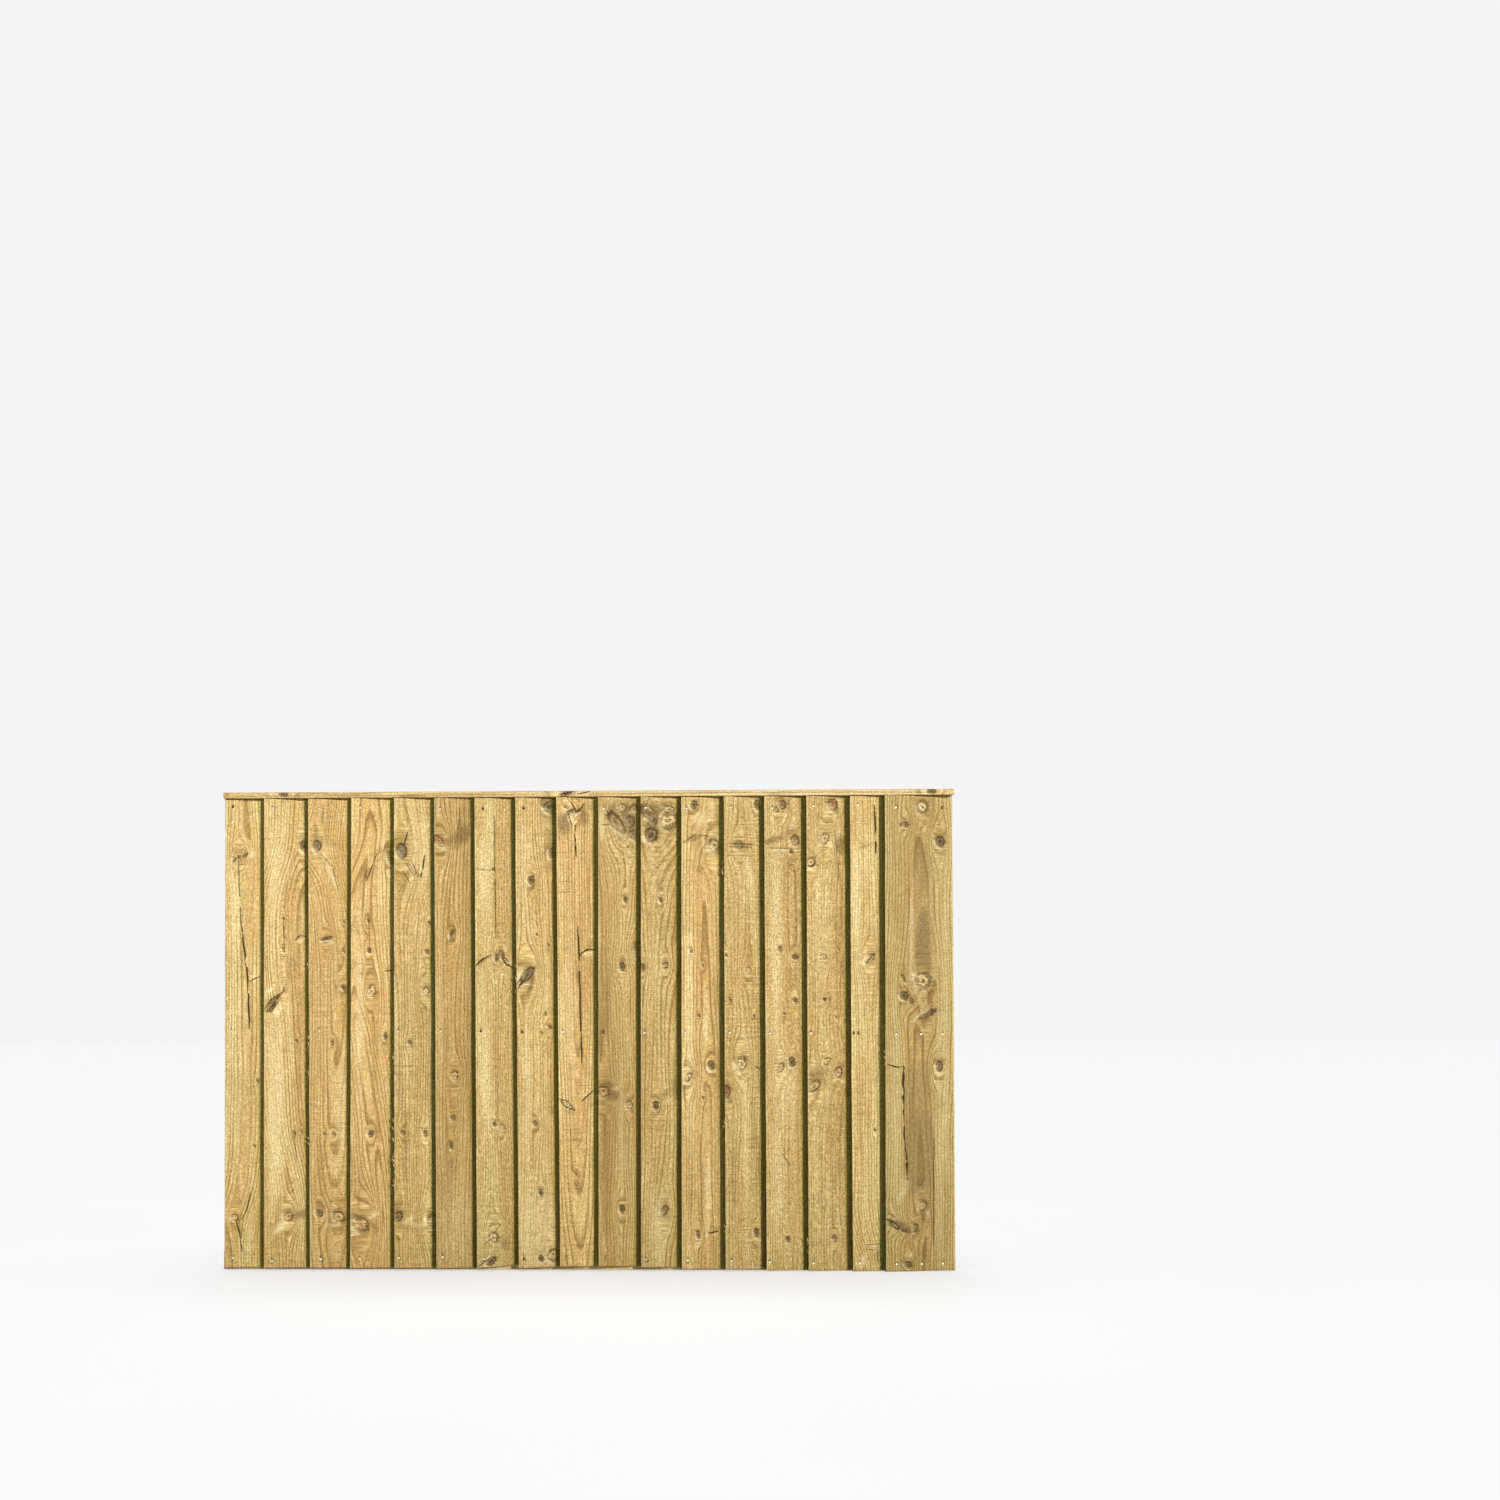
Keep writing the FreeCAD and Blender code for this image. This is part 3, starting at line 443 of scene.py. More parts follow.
        knot(106, 638, 5, 22, 64, 0.2, 0.8), lighter(98, 634, 8, 20, 0.6, 70),
        crack(2.4, 1.0, (118, 652), (120, 634)), darker(100, 620, 18, 24, 0.35),
        lighter(134, 640, 4, 500, 0.5), crack(2.8, 1.0, (8, 513), (26, 507), (45, 504)),
        crack(5.0, 1.0, (47, 506), (45, 465), (45, 431), (46, 390)),
        crack(2.4, 0.9, (46, 396), (48, 330), (50, 300)),
        crack(4.6, 1.0, (50, 308), (54, 262), (56, 230)),
        stain(86, 300, 38, 118, sharp=0.8, brown=0.45, grey=0.25),
        stain(84, 440, 38, 90, sharp=0.5, brown=0.35, grey=0.15), knot(137, 508, 7, 12, 0, 0.2, 0.8),
        lighter(136, 530, 10, 26, 0.5), lighter(24, 400, 20, 300, 0.3),
        crack(1.6, 0.6, (122, 330), (121, 60)), stain(136, 200, 12, 240, sharp=0.6, pale=0.35),
        knot(94, 162, 7, 12, 34, 0.2, 0.45, 0.3), lighter(86, 158, 6, 20, 0.9, 36),
        lighter(104, 148, 6, 22, 0.7, -30), darker(96, 140, 20, 36, 0.5),
        lighter(44, 200, 14, 40, 0.6, 20), stain(30, 116, 34, 12, 14, sharp=0.3, brown=1.0),
        knot(12, 124, 8, 4, 20, 0.2, 0.75), knot(25, 113, 7, 5, 30, 0.3, 0.4, 0.4),
        crack(2.0, 0.8, (2, 130), (20, 124), (38, 108)), crack(1.6, 0.7, (8, 118), (30, 104), (52, 98)),
        lighter(20, 102, 14, 5, 0.7, 20), knot(46, 102, 6, 4, 10, 0.3, 0.8),
        knot(75, 108, 5, 9, 20, 0.3, 0.7), stain(60, 102, 28, 12, 4, sharp=0.3, brown=0.9),
        knot(57, 17, 7, 7, 0, 0.3, 0.8), darker(56, 22, 22, 16, 0.45), lighter(60, 36, 14, 5, 0.5, -30),
        darker(92, 40, 14, 26, 0.5), lighter(152, 620, 12, 520, 0.4), darker(70, 940, 90, 300, 0.2),
    ),
)

# Where the thick edge of a board is torn: the middle and half-length of the height range, and how badly.
TORN = {
    3: ((548, 62, 1.0), (760, 10, 0.9), (330, 30, 0.4)),
    5: ((330, 150, 0.6), (520, 40, 0.8)),
    8: ((724, 40, 0.5),),
    13: ((995, 40, 0.8), (360, 30, 0.5), (110, 20, 0.6)),
    15: ((40, 40, 0.7),),
    17: ((500, 60, 0.4),),
}

CAPPING = timber(
    4, 14, 0.0, 5.0, 10, 1.12, 0.8, 0.0, 0.2, 0.4,
    lighter(6, 0, 40, 1000, 0.35), knot(9, -764, 5, 9, 0, 0.5, 0.9), knot(7, -50, 6, 15, 40, 0.4, 1.0),
    knot(8, 858, 5, 9, 0, 0.4, 0.9), crack(1.6, 1.0, (5, -24), (12, 8)),
    # The darker patch at the capping's left end is painted shade on its rounded end.
    crack(1.4, 1.0, (4, -70), (12, -40)), darker(8, -908, 14, 14, 0.7),
    crack(1.0, 0.35, (5, -890), (4, -420), (6, -130)), crack(1.0, 0.35, (6, 60), (8, 400), (6, 880)),
    lighter(9, 560, 20, 420, 0.6),
)
RAILS = {
    "top_rail": timber(
        18, 30, 0.02, 4.5, 26, 0.9, 0.4, 0.2, 0.6, 0.6,
        knot(30, -420, 7, 11), knot(20, 330, 5, 8),
    ),
    "middle_rail": timber(
        60, 14, -0.02, 5.0, 50, 0.92, 0.4, 0.2, 0.5, 0.5,
        knot(14, -90, 8, 12), pin(28, 560),
    ),
    "bottom_rail": timber(
        10, 40, 0.01, 4.2, 30, 0.88, 0.3, 0.3, 0.6, 0.7,
        knot(26, 210, 6, 9), pin(15, -640),
    ),
}


# Reading the frame

def node_points(name):
    """A CAD node's vertices in millimetres."""
    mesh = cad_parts[name].data
    points = np.empty(len(mesh.vertices) * 3)
    mesh.vertices.foreach_get("co", points)
    return points.reshape(-1, 3) / METRES


Nail = namedtuple("Nail", "head length")


def read_nails(name, axis):
    """The nails of a node, driven along an axis: the middle of each head's face, and each length."""
    points = node_points(name)
    points = points[np.argsort(points[:, 0])]
    gaps = np.nonzero(np.diff(points[:, 0]) > NAIL_GAP)[0] + 1
    nails = []
    for part in np.split(points, gaps):
        lo, hi = part.min(0), part.max(0)
        head = (lo + hi) / 2
        head[axis] = lo[axis] if axis == 1 else hi[axis]
        nails.append(Nail(head, hi[axis] - lo[axis]))
    return nails


End = namedtuple("End", "left right z_left z_right back_left back_right front_left front_right")


def board_end(points, up):
    """One end of a board, the head if up is 1 and the foot if it is -1.

    Its corners are the points that lie furthest out, and its face is taken on to its very edges, as if
    the arris weren't planed off.
    """
    x, y, z = points.T

    def corner(side):
        tip = points[(side * x + up * z).argmax()]
        return points[np.hypot(x - tip[0], z - tip[2]) < SAME_PLACE]

    left, right = corner(-1), corner(1)
    arris = points[y.argmin()]
    x0, x1 = left[0, 0], right[0, 0]
    front_right = right[:, 1].min()
    slope = (front_right - arris[1]) / (x1 - arris[0])
    front_left = arris[1] - slope * (arris[0] - x0)
    backs = left[:, 1].max(), right[:, 1].max()
    return End(x0, x1, left[0, 2], right[0, 2], *backs, front_left, front_right)


def board_ends(name):
    """A board's foot and head."""
    points = node_points(name)
    middle = points[:, 2].mean()
    return board_end(points[points[:, 2] < middle], -1), board_end(points[points[:, 2] > middle], 1)


def thick_edge(foot, head, z):
    """Where a board's thick edge stands at a height."""
    return foot.left + (head.left - foot.left) * z / head.z_left


# Noise on a fixed lattice, the same in every run

def lattice(ix, iy, seed):
    """A share from -1 to 1 for each whole place of a plane."""
    h = ix.astype(np.int64) * 374761393 + iy.astype(np.int64) * 668265263 + seed * 974634777
    h = h & 0xFFFFFFFF
    h = ((h ^ (h >> 13)) * 1274126177) & 0xFFFFFFFF
    return ((h ^ (h >> 16)) & 0xFFFF) / 32767.5 - 1.0


def draws(count, place, seed):
    """Shares from -1 to 1 for one thing of a numbered row."""
    return [float(lattice(np.array(place), np.array(i), seed)) for i in range(count)]


def noise(x, y, seed):
    """Smooth noise from -1 to 1 over a plane of unit cells."""
    ix, iy = np.floor(x), np.floor(y)
    fx, fy = x - ix, y - iy
    sx, sy = fx * fx * (3 - 2 * fx), fy * fy * (3 - 2 * fy)
    low = lattice(ix, iy, seed) * (1 - sx) + lattice(ix + 1, iy, seed) * sx
    high = lattice(ix, iy + 1, seed) * (1 - sx) + lattice(ix + 1, iy + 1, seed) * sx
    return low * (1 - sy) + high * sy


def rough(x, y, seed):
    """Noise with a finer layer over it."""
    return 0.65 * noise(x, y, seed) + 0.35 * noise(2.1 * x, 2.3 * y, seed + 7)


def smooth(value, low, high):
    """From 0 at low to 1 at high, eased at both ends."""
    t = np.clip((value - low) / (high - low), 0.0, 1.0)
    return t * t * (3 - 2 * t)


# The grain of a piece of timber

def about(mark, across, along):
    """Places about a mark along its own axes, in its half-sizes."""
    angle = math.radians(mark.tilt)
    right, up = across - mark.across, along - mark.along
    wide = (right * math.cos(angle) - up * math.sin(angle)) / mark.wide
    tall = (right * math.sin(angle) + up * math.cos(angle)) / mark.tall
    return wide, tall


def of_kind(wood, kind):
    """A piece's knots, stains or cracks."""
    return [mark for mark in wood.marks if isinstance(mark, kind)]


def pith_at(wood, along):
    """Where across the face the heart of the tree runs, at each place along the piece."""
    if not isinstance(wood.pith, tuple):
        return np.full(along.shape, float(wood.pith))
    places, hearts = zip(*wood.pith)
    return np.mean([np.interp(along + step, places, hearts) for step in (-40, -20, 0, 20, 40)], axis=0)


def fibres(across, along, deep, wood, seed):
    """Where each point lies across the fibres, which part round the knots, and in the years of growth."""
    bent = across + 2.4 * noise(across / 90, along / 420, seed)
    bent = bent + 0.9 * noise(across / 25, along / 130, seed + 1)
    eyes = np.zeros(across.shape)
    for k in of_kind(wood, Knot):
        size = 1.5 * min((k.wide + k.tall) / 2, 1.6 * k.wide)
        right, up = across - k.across, (along - k.along) / 2.8
        square = right * right + up * up
        held = np.maximum(square, size * size * 1.05)
        bent = bent - right * size * size / held * np.exp(-square / (size * size * 30))
        close = right * right + ((along - k.along) / 1.5) ** 2
        eyes = eyes + min(size / 8, 1.3) * np.exp(-close / (2 * (1.2 * size) ** 2))
    heart_depth = wood.depth + wood.climb * (along - 600) + 6 * noise(across / 200, along / 300, seed + 2)
    radius = np.hypot(bent - pith_at(wood, along), heart_depth + deep)
    heart = smooth(radius + 4 * rough(across / 14, along / 160, seed + 3), wood.heart + 7, wood.heart - 7)
    return bent, radius / wood.spacing + eyes, heart


def nearest_knot(across, along, wood):
    """Each point's place about its nearest knot, with a weight that fades where two meet, and its kind."""
    nearest = np.full(across.shape, 1e3)
    second = np.full(across.shape, 1e3)
    place = np.zeros(across.shape + (3,))
    kind = np.zeros(across.shape + (3,))
    for k in of_kind(wood, Knot):
        wide, tall = about(k, across, along)
        far = np.hypot(wide, tall)
        closer = far < nearest
        second = np.where(closer, nearest, np.minimum(second, far))
        nearest = np.where(closer, far, nearest)
        place[closer] = np.stack([wide, tall, far], -1)[closer]
        kind[closer] = (k.red, k.dark, k.pale)
    place[..., 2] = smooth(second - nearest, 0.0, 0.5) * smooth(nearest, 3.8, 2.8)
    return nearest, place, kind


def stained(across, along, wood, seed):
    """How brown, grey and pale the stains leave each point."""
    tint = np.zeros(across.shape + (3,))
    for s in of_kind(wood, Stain):
        wide, tall = about(s, across, along)
        power = 2.0 + 3.0 * s.sharp
        out = (np.abs(wide) ** power + np.abs(tall) ** power) ** (1 / power)
        ragged = (0.4 - 0.3 * s.sharp) * rough(across / 9, along / 34, seed + 11)
        amount = smooth(out + ragged, 1.2 - 0.1 * s.sharp, 0.2 + 0.65 * s.sharp)
        for channel, strength in enumerate((s.brown, s.grey, s.pale)):
            tint[..., channel] = np.maximum(tint[..., channel], strength * amount)
    return tint


def cracked(across, along, wood, seed):
    """How far to the side of its nearest crack each point is, the crack's half-width and its weight."""
    split = np.zeros(across.shape + (3,))
    split[..., 0] = 30.0
    for c in of_kind(wood, Crack):
        ends = [np.hypot(across - a, along - b) for a, b in (c.route[0], c.route[-1])]
        taper = smooth(np.minimum(*ends), 0.0, 30.0)
        for (a0, b0), (a1, b1) in zip(c.route, c.route[1:]):
            length = math.hypot(a1 - a0, b1 - b0)
            side = ((across - a0) * (b1 - b0) - (along - b0) * (a1 - a0)) / length
            share = ((across - a0) * (a1 - a0) + (along - b0) * (b1 - b0)) / length ** 2
            past = np.maximum(np.maximum(-share, share - 1) * length, 0.0)
            side = side + 0.8 * noise(along / 18, across / 18, seed + 5)
            reach = np.hypot(side, past)
            closer = reach < np.abs(split[..., 0])
            half = c.width / 2 * (0.35 + 0.65 * taper) - 0.25 * past
            weight = c.dark * smooth(reach, 12.0, 7.0)
            for channel, value in enumerate((side, half, weight)):
                split[..., channel] = np.where(closer, value, split[..., channel])
    return split


def timber_fields(across, along, deep, wood, seed):
    """A piece's attributes at each point, and how deep its cracks and the grooves round its knots lie."""
    bent, years, heart = fibres(across, along, deep, wood, seed)
    nearest, place, kind = nearest_knot(across, along, wood)
    split = cracked(across, along, wood, seed)
    within = 1 - np.abs(split[..., 0]) / np.maximum(split[..., 1] + 1.3, 0.2)
    opening = np.maximum(0.0, within) * split[..., 2]
    groove = np.exp(-((nearest - 1.05) / 0.25) ** 2) * place[..., 2] * (0.2 + 0.6 * kind[..., 1])
    pits = smooth(nearest, 1.0, 0.3) * place[..., 2] * np.where(kind[..., 1] > 0.7, 0.9, 0.0)

    def attribute(*values):
        return np.stack([np.ones(across.shape) * value for value in values], -1)

    fields = {
        "grain": attribute(bent, along, deep),
        "growth": attribute(years, heart, seed * 17.3),
        "knot": place,
        "knot_kind": kind,
        "tint": stained(across, along, wood, seed),
        "split": split,
        "tone": attribute(wood.light, wood.warm, wood.green),
        "cut": attribute(wood.saw, wood.fuzz, min(1.2 - 0.45 * wood.fuzz, 1.0)),
        # Its first share is how much painted shade a point takes: dark olive on thick edges and beside the
        # laps.
        "section": attribute(0.0, pith_at(wood, along), 0.0),
    }
    return fields, 1.1 * opening + 0.5 * groove + pits


def sawn_depth(across, along, wood, seed):
    """How far the rough surface lies in from the true face, from 0 to 1."""
    fuzz = 0.6 * rough(across / 3.6, along / 6.5, seed + 20)
    fuzz = fuzz + 0.4 * rough(across / 9, along / 36, seed + 21)
    marks = noise(across / 160, along / 5.2, seed + 22) * wood.saw
    return np.clip(0.5 + (0.35 + 0.4 * wood.fuzz) * fuzz + 0.25 * marks, 0.0, 1.0)


# Meshes

def grid_lines(marks, ends, spacing):
    """Grid lines from one end to another, in rings about each mark and evenly spaced between them."""
    rings = [-r for r in PIT_RINGS[:0:-1]] + list(PIT_RINGS)
    fixed = sorted([m + r for m in marks for r in rings] + list(ends))
    lines = []
    for a, b in zip(fixed, fixed[1:]):
        lines.extend(np.linspace(a, b, max(1, round((b - a) / spacing)), endpoint=False))
    return np.array(lines + [fixed[-1]])


def ring_in(points, row, column, centre, across, along, turn=1):
    """Draws the grid's lines about a nail into rings. Returns the points of the pit's floor as a mask."""
    floor = np.zeros(points.shape[:2], bool)
    side = len(PIT_RINGS) - 1
    for i in range(-side, side + 1):
        for j in range(-side, side + 1):
            ring = max(abs(i), abs(j))
            up = math.copysign(PIT_RINGS[abs(i)], i)
            right = math.copysign(PIT_RINGS[abs(j)], j) * turn
            rounded = 0 < ring < side
            share = PIT_RINGS[ring] / math.hypot(up, right) if rounded else 1.0
            tear = PIT_TEAR if rounded and up > 0 else 1.0
            points[row + i, column + j, across] = centre[across] + right * share
            points[row + i, column + j, along] = centre[along] + up * share * tear
            floor[row + i, column + j] = ring < 3
    return floor


def make_mesh(name, points, faces, fields=None, ends=0):
    """A mesh object from points in millimetres and arrays of faces. The last, its ends, stay flat."""
    mesh = bpy.data.meshes.new(name)
    corners = np.concatenate([f.ravel() for f in faces])
    sizes = np.concatenate([np.full(len(f), f.shape[1]) for f in faces])
    mesh.vertices.add(len(points))
    mesh.vertices.foreach_set("co", (points * METRES).astype(np.float32).ravel())
    mesh.loops.add(len(corners))
    mesh.loops.foreach_set("vertex_index", corners.astype(np.int32))
    mesh.polygons.add(len(sizes))
    mesh.polygons.foreach_set("loop_start", (np.cumsum(sizes) - sizes).astype(np.int32))
    flat = np.arange(len(sizes)) >= len(sizes) - ends
    mesh.polygons.foreach_set("use_smooth", ~flat)
    if ends:
        mesh.polygons.foreach_set("material_index", flat.astype(np.int32))
    for field, values in (fields or {}).items():
        layer = mesh.attributes.new(field, "FLOAT_VECTOR", "POINT")
        layer.data.foreach_set("vector", values.astype(np.float32).ravel())
    mesh.update(calc_edges=True)
    mesh.validate()
    obj = bpy.data.objects.new(name, mesh)
    bpy.context.scene.collection.objects.link(obj)
    return obj


def stock(name, points, fields, node):
    """A length of timber from rows of points round its section, which stands for a CAD node."""
    rows, columns = points.shape[:2]
    i, j = np.meshgrid(np.arange(rows - 1), np.arange(columns), indexing="ij")
    k = (j + 1) % columns
    quads = np.stack([i * columns + j, i * columns + k, (i + 1) * columns + k, (i + 1) * columns + j], -1)
    first = np.arange(columns)[::-1][None, :]
    last = (np.arange(columns) + (rows - 1) * columns)[None, :]
    flat = {key: value.reshape(-1, 3) for key, value in fields.items()}
    obj = make_mesh(name, points.reshape(-1, 3), [quads.reshape(-1, 4), first, last], flat, ends=2)
    obj.data.materials.append(SAWN)
    obj.data.materials.append(END_GRAIN)
    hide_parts(node)
    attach(obj, "root")
    return obj


def nail_lines(nails, levels):
    """The x at each level of each line of nails up a board.

    A line with no nail at a level stands beside that level's last.
    """
    at_level = [sorted(n.head[0] for n in nails if round(n.head[2], 2) == level) for level in levels]
    beside = 3 * PIT_RINGS[-1]
    lines = []
    for i in range(max(len(found) for found in at_level)):
        lines.append([f[i] if i < len(f) else f[-1] + beside * (i + 1 - len(f)) for f in at_level])
    return lines


def face_grid(foot, head, nails):
    """A board's grid: the height of each row, and how far across the board each of its points lies.

    The rows follow the heights of the nails, and the columns their places across.
    """
    levels = sorted({round(n.head[2], 2) for n in nails})
    rows = grid_lines(levels, (0.0, head.z_left), FACE_GRID[1])
    rows = rows[(rows >= 0.0) & (rows <= head.z_left)]
    left, width = thick_edge(foot, head, rows), foot.right - foot.left
    lines = [np.interp(rows, levels, line) - left for line in nail_lines(nails, levels)]
    guides = [line.mean() for line in lines]
    columns = grid_lines(guides, (CORNER, width - CORNER), FACE_GRID[0])
    held = [0.0] + [g + r for g in guides for r in (-PIT_RINGS[-1], PIT_RINGS[-1])] + [width]
    front = []
    for i in range(len(rows)):
        moves = [0.0] + [line[i] - g for line, g in zip(lines, guides) for _ in range(2)] + [0.0]
        front.append(columns + np.interp(columns, held, moves))
    return rows, np.array(front) / width


def board_surface(foot, head, rows, front):
    """A board's true surface: up the thick edge, over the face, down the thin edge and back behind.

    Gives its points and the depth of the face's plane at each.
    """
    share = (rows / head.z_left)[:, None]

    def spread(low, high, s):
        """A value set at the foot's and the head's two corners, a share s of the way across."""
        at_left = low[0] + (high[0] - low[0]) * share
        at_right = low[1] + (high[1] - low[1]) * share
        return at_left + (at_right - at_left) * s

    def back(s):
        return spread((foot.back_left, foot.back_right), (head.back_left, head.back_right), s)

    def face(s):
        return spread((foot.front_left, foot.front_right), (head.front_left, head.front_right), s)

    width = foot.right - foot.left
    corner = CORNER / width
    behind = np.linspace(1.0 - corner, corner, round(width / BACK_GRID))
    across = [np.zeros((len(rows), len(EDGE_STEPS))), front, np.ones((len(rows), len(THIN_STEPS)))]
    across = np.concatenate(across + [np.tile(behind, (len(rows), 1))], 1)
    thick = back(0.0) + (face(0.0) - back(0.0)) * EDGE_STEPS
    thin = back(1.0) + (face(1.0) - back(1.0)) * THIN_STEPS
    points = np.empty(across.shape + (3,))
    points[..., 0] = spread((foot.left, foot.right), (head.left, head.right), across)
    points[..., 1] = np.concatenate([thick, face(front), thin, back(behind)], 1)
    low_z = foot.z_left + (foot.z_right - foot.z_left) * across
    high_z = head.z_left + (head.z_right - head.z_left) * across
    points[..., 2] = low_z + (high_z - low_z) * share
    return points, face(across)


def press_pits(points, rows, face, nails):
    """Draws a board's grid into rings about its nails. Gives the floors of their pits as a mask."""
    pits = np.zeros(points.shape[:2], bool)
    for nail in nails:
        row = int(np.abs(rows - nail.head[2]).argmin())
        column = face.start + int(np.abs(points[row, face, 0] - nail.head[0]).argmin())
        pits |= ring_in(points, row, column, nail.head, 0, 2)
    return pits


def paint_shade_and_highlight(fields, number, points, u, face, pits):
    """Colours a board by its place: painted shade on its thick edge, beside the next board and in its nail
    pits, and a painted highlight along its arris and the last board's sawn end.
    """
    x, z = points[..., 0], points[..., 2]
    seed = BOARD_SEED * number
    # Painted shade: the thick edge is marked to go almost wholly dark olive.
    fields["section"][:, :face.start, 0] = 1.0
    # Painted shade: the floors of the nail pits are stained fully brown.
    fields["tint"][pits, 0] = 1.0
    # Painted highlight: pale along the thick edge's arris, and along the last board's sawn end.
    painted_arris_highlight = smooth(u, *ARRIS_HIGHLIGHT) * (0.75 + 0.5 * noise(z / 40, 0 * z, seed + 35))
    if number == len(BOARDS):
        painted_arris_highlight = np.maximum(painted_arris_highlight, smooth(cad_box[1].x / METRES - x, *SAWN_END_HIGHLIGHT))
    else:
        lap = thick_edge(*board_ends("board_%02d" % (number + 1)), z) - x
        lap = lap + 2.0 * noise(z / 70, 0 * z, seed + 36)
        # Painted shade: dark olive on the strip where the next board's thick edge casts its shadow.
        painted_lap_shade = PAINTED_LAP_SHADE * smooth(lap, PAINTED_LAP_SHADE_REACH, 0.4 * PAINTED_LAP_SHADE_REACH)
        fields["section"][:, face, 0] = painted_lap_shade[:, face]
    fields["tint"][:, face, 2] = np.maximum(fields["tint"][..., 2], painted_arris_highlight)[:, face]


def wander(number, points, u):
    """Lets a board's thick edge wander, more where it is torn, and so the last board's sawn end."""
    x, y, z = points[..., 0], points[..., 1], points[..., 2]
    seed = BOARD_SEED * number
    torn = ragged_at(number, z)
    sway = 0.5 * noise(z / 60, 0 * z, seed + 30) + (0.25 + 2.4 * torn) * rough(z / 7, y / 5, seed + 31)
    near = np.exp(-np.maximum(u, 0) / (2.0 + 2 * torn))
    x += (0.35 + 0.6 * sway + 0.5 * torn) * near
    if number == len(BOARDS):
        far = np.exp(-np.maximum(cad_box[1].x / METRES - x, 0) / 2.0)
        x -= (0.25 + 0.25 * rough(z / 9, y / 4, seed + 33)) * far


def board_piece(number, wood, all_nails):
    """A board over its CAD node: the same section, lean and ends, with a sawn surface and its marks."""
    name = "board_%02d" % number
    seed = BOARD_SEED * number
    foot, head = board_ends(name)
    own_width = (head.right - head.left) * (1.0 if number == len(BOARDS) else CLEAR_WIDTH)
    nails = [n for n in all_nails if 0 < n.head[0] - thick_edge(foot, head, n.head[2]) < own_width]
    rows, front = face_grid(foot, head, nails)
    points, plane = board_surface(foot, head, rows, front)
    face = slice(len(EDGE_STEPS), len(EDGE_STEPS) + front.shape[1])
    pits = press_pits(points, rows, face, nails)

    x, y, z = points[..., 0], points[..., 1], points[..., 2]
    u = x - thick_edge(foot, head, z)
    shade = 1 - (1 - BASE_SHADE) * np.maximum(1 - z / z.max(), 0.0) ** BASE_FALL
    fields, sunk = timber_fields(u, z, y - plane, wood._replace(light=wood.light * shade), seed)
    paint_shade_and_highlight(fields, number, points, u, face, pits)
    depth = RELIEF * sawn_depth(u, z, wood, seed) + sunk
    y[:, face] += np.where(pits, PIT_DEPTH, depth)[:, face]
    wander(number, points, u)
    return stock(name + "_timber", points, fields, name)


def ragged_at(number, z):
    """How torn the thick edge of a board is at each height."""
    torn = np.zeros(z.shape)
    for middle, reach, amount in TORN.get(number, ()):
        torn = np.maximum(torn, amount * smooth(np.abs(z - middle), reach, 0.5 * reach))
    return torn


def add_splinter(points, faces, root, reach):
    """Adds one sliver: its root, four sides and tip."""
    start = len(points)
    belly = [root + SPLINTER_BELLY * reach + side for side in SPLINTER_SIDES]
    points.extend([root] + belly + [root + reach])
    for i in range(4):
        side, following = start + 1 + i, start + 1 + (i + 1) % 4
        faces.extend([(start, following, side), (start + 5, side, following)])


def splinter_piece(number, wood):
    """Slivers that stand off a board's thick edge where it is torn."""
    name = "board_%02d" % number
    foot, head = board_ends(name)
    points, faces = [], []
    for middle, half, amount in TORN[number]:
        for k in range(math.ceil(half * amount / SPLINTER_STEP)):
            a, b, c, d = draws(4, k, number + round(middle))
            z = min(max(middle + half * a, SPLINTER_CLEAR[0]), head.z_left - SPLINTER_CLEAR[1])
            left = thick_edge(foot, head, z)
            root = np.array([left + 1.0, foot.front_left + 1.0 + 3.0 * abs(b), z])
            rise = (8.0 + 12.0 * abs(d)) * (1 if d > -0.3 else -1)
            add_splinter(points, faces, root, np.array([-4.0 - 6.0 * abs(c), -0.4 - abs(b), rise]))
    points = np.array(points)
    u = points[:, 0] - foot.left
    fields, _ = timber_fields(u, points[:, 2], np.ones(len(points)), wood, BOARD_SEED * number)
    fields["tint"][:, 2] = SPLINTER_TINT
    obj = make_mesh(name + "_splinters", points, [np.array(faces)], fields)
    obj.data.materials.append(SAWN)
    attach(obj, "root")
    return obj


def bar_outline(low, high, radii, nail_line):
    """Points and outward directions round a bar's section in Y and Z, from its top back edge.

    radii are of its upper and its lower edges, and nail_line the places across the top of any nails.
    """
    (y0, z0), (y1, z1) = low, high
    above, below = radii
    corners = (
        (y1, z1, -1, -1, above),
        (y0, z1, 1, -1, above),
        (y0, z0, 1, 1, below),
        (y1, z0, -1, 1, below),
    )
    points, directions = [], []
    for turn, (y, z, inward_y, inward_z, radius) in enumerate(corners):
        for step in range(4):
            angle = math.radians(90 * turn + 30 * step)
            out = math.cos(angle), math.sin(angle)
            points.append((y + radius * (inward_y + out[0]), z + radius * (inward_z + out[1])))
            directions.append(out)
        following = corners[(turn + 1) % 4]
        length = (y1 - y0 if turn % 2 == 0 else z1 - z0) - radius - following[4]
        if turn == 0:
            steps = y1 - radius - grid_lines(nail_line, (y0 + radius, y1 - radius), BAR_GRID[0])[::-1]
        else:
            steps = grid_lines((), (0.0, length), BAR_GRID[0])
        ahead = -math.sin(math.radians(90 * turn + 90)), math.cos(math.radians(90 * turn + 90))
        start = points[-1]
        for step in steps[1:-1]:
            points.append((start[0] + ahead[0] * step, start[1] + ahead[1] * step))
            directions.append(directions[-1])
    return np.array(points), np.array(directions)


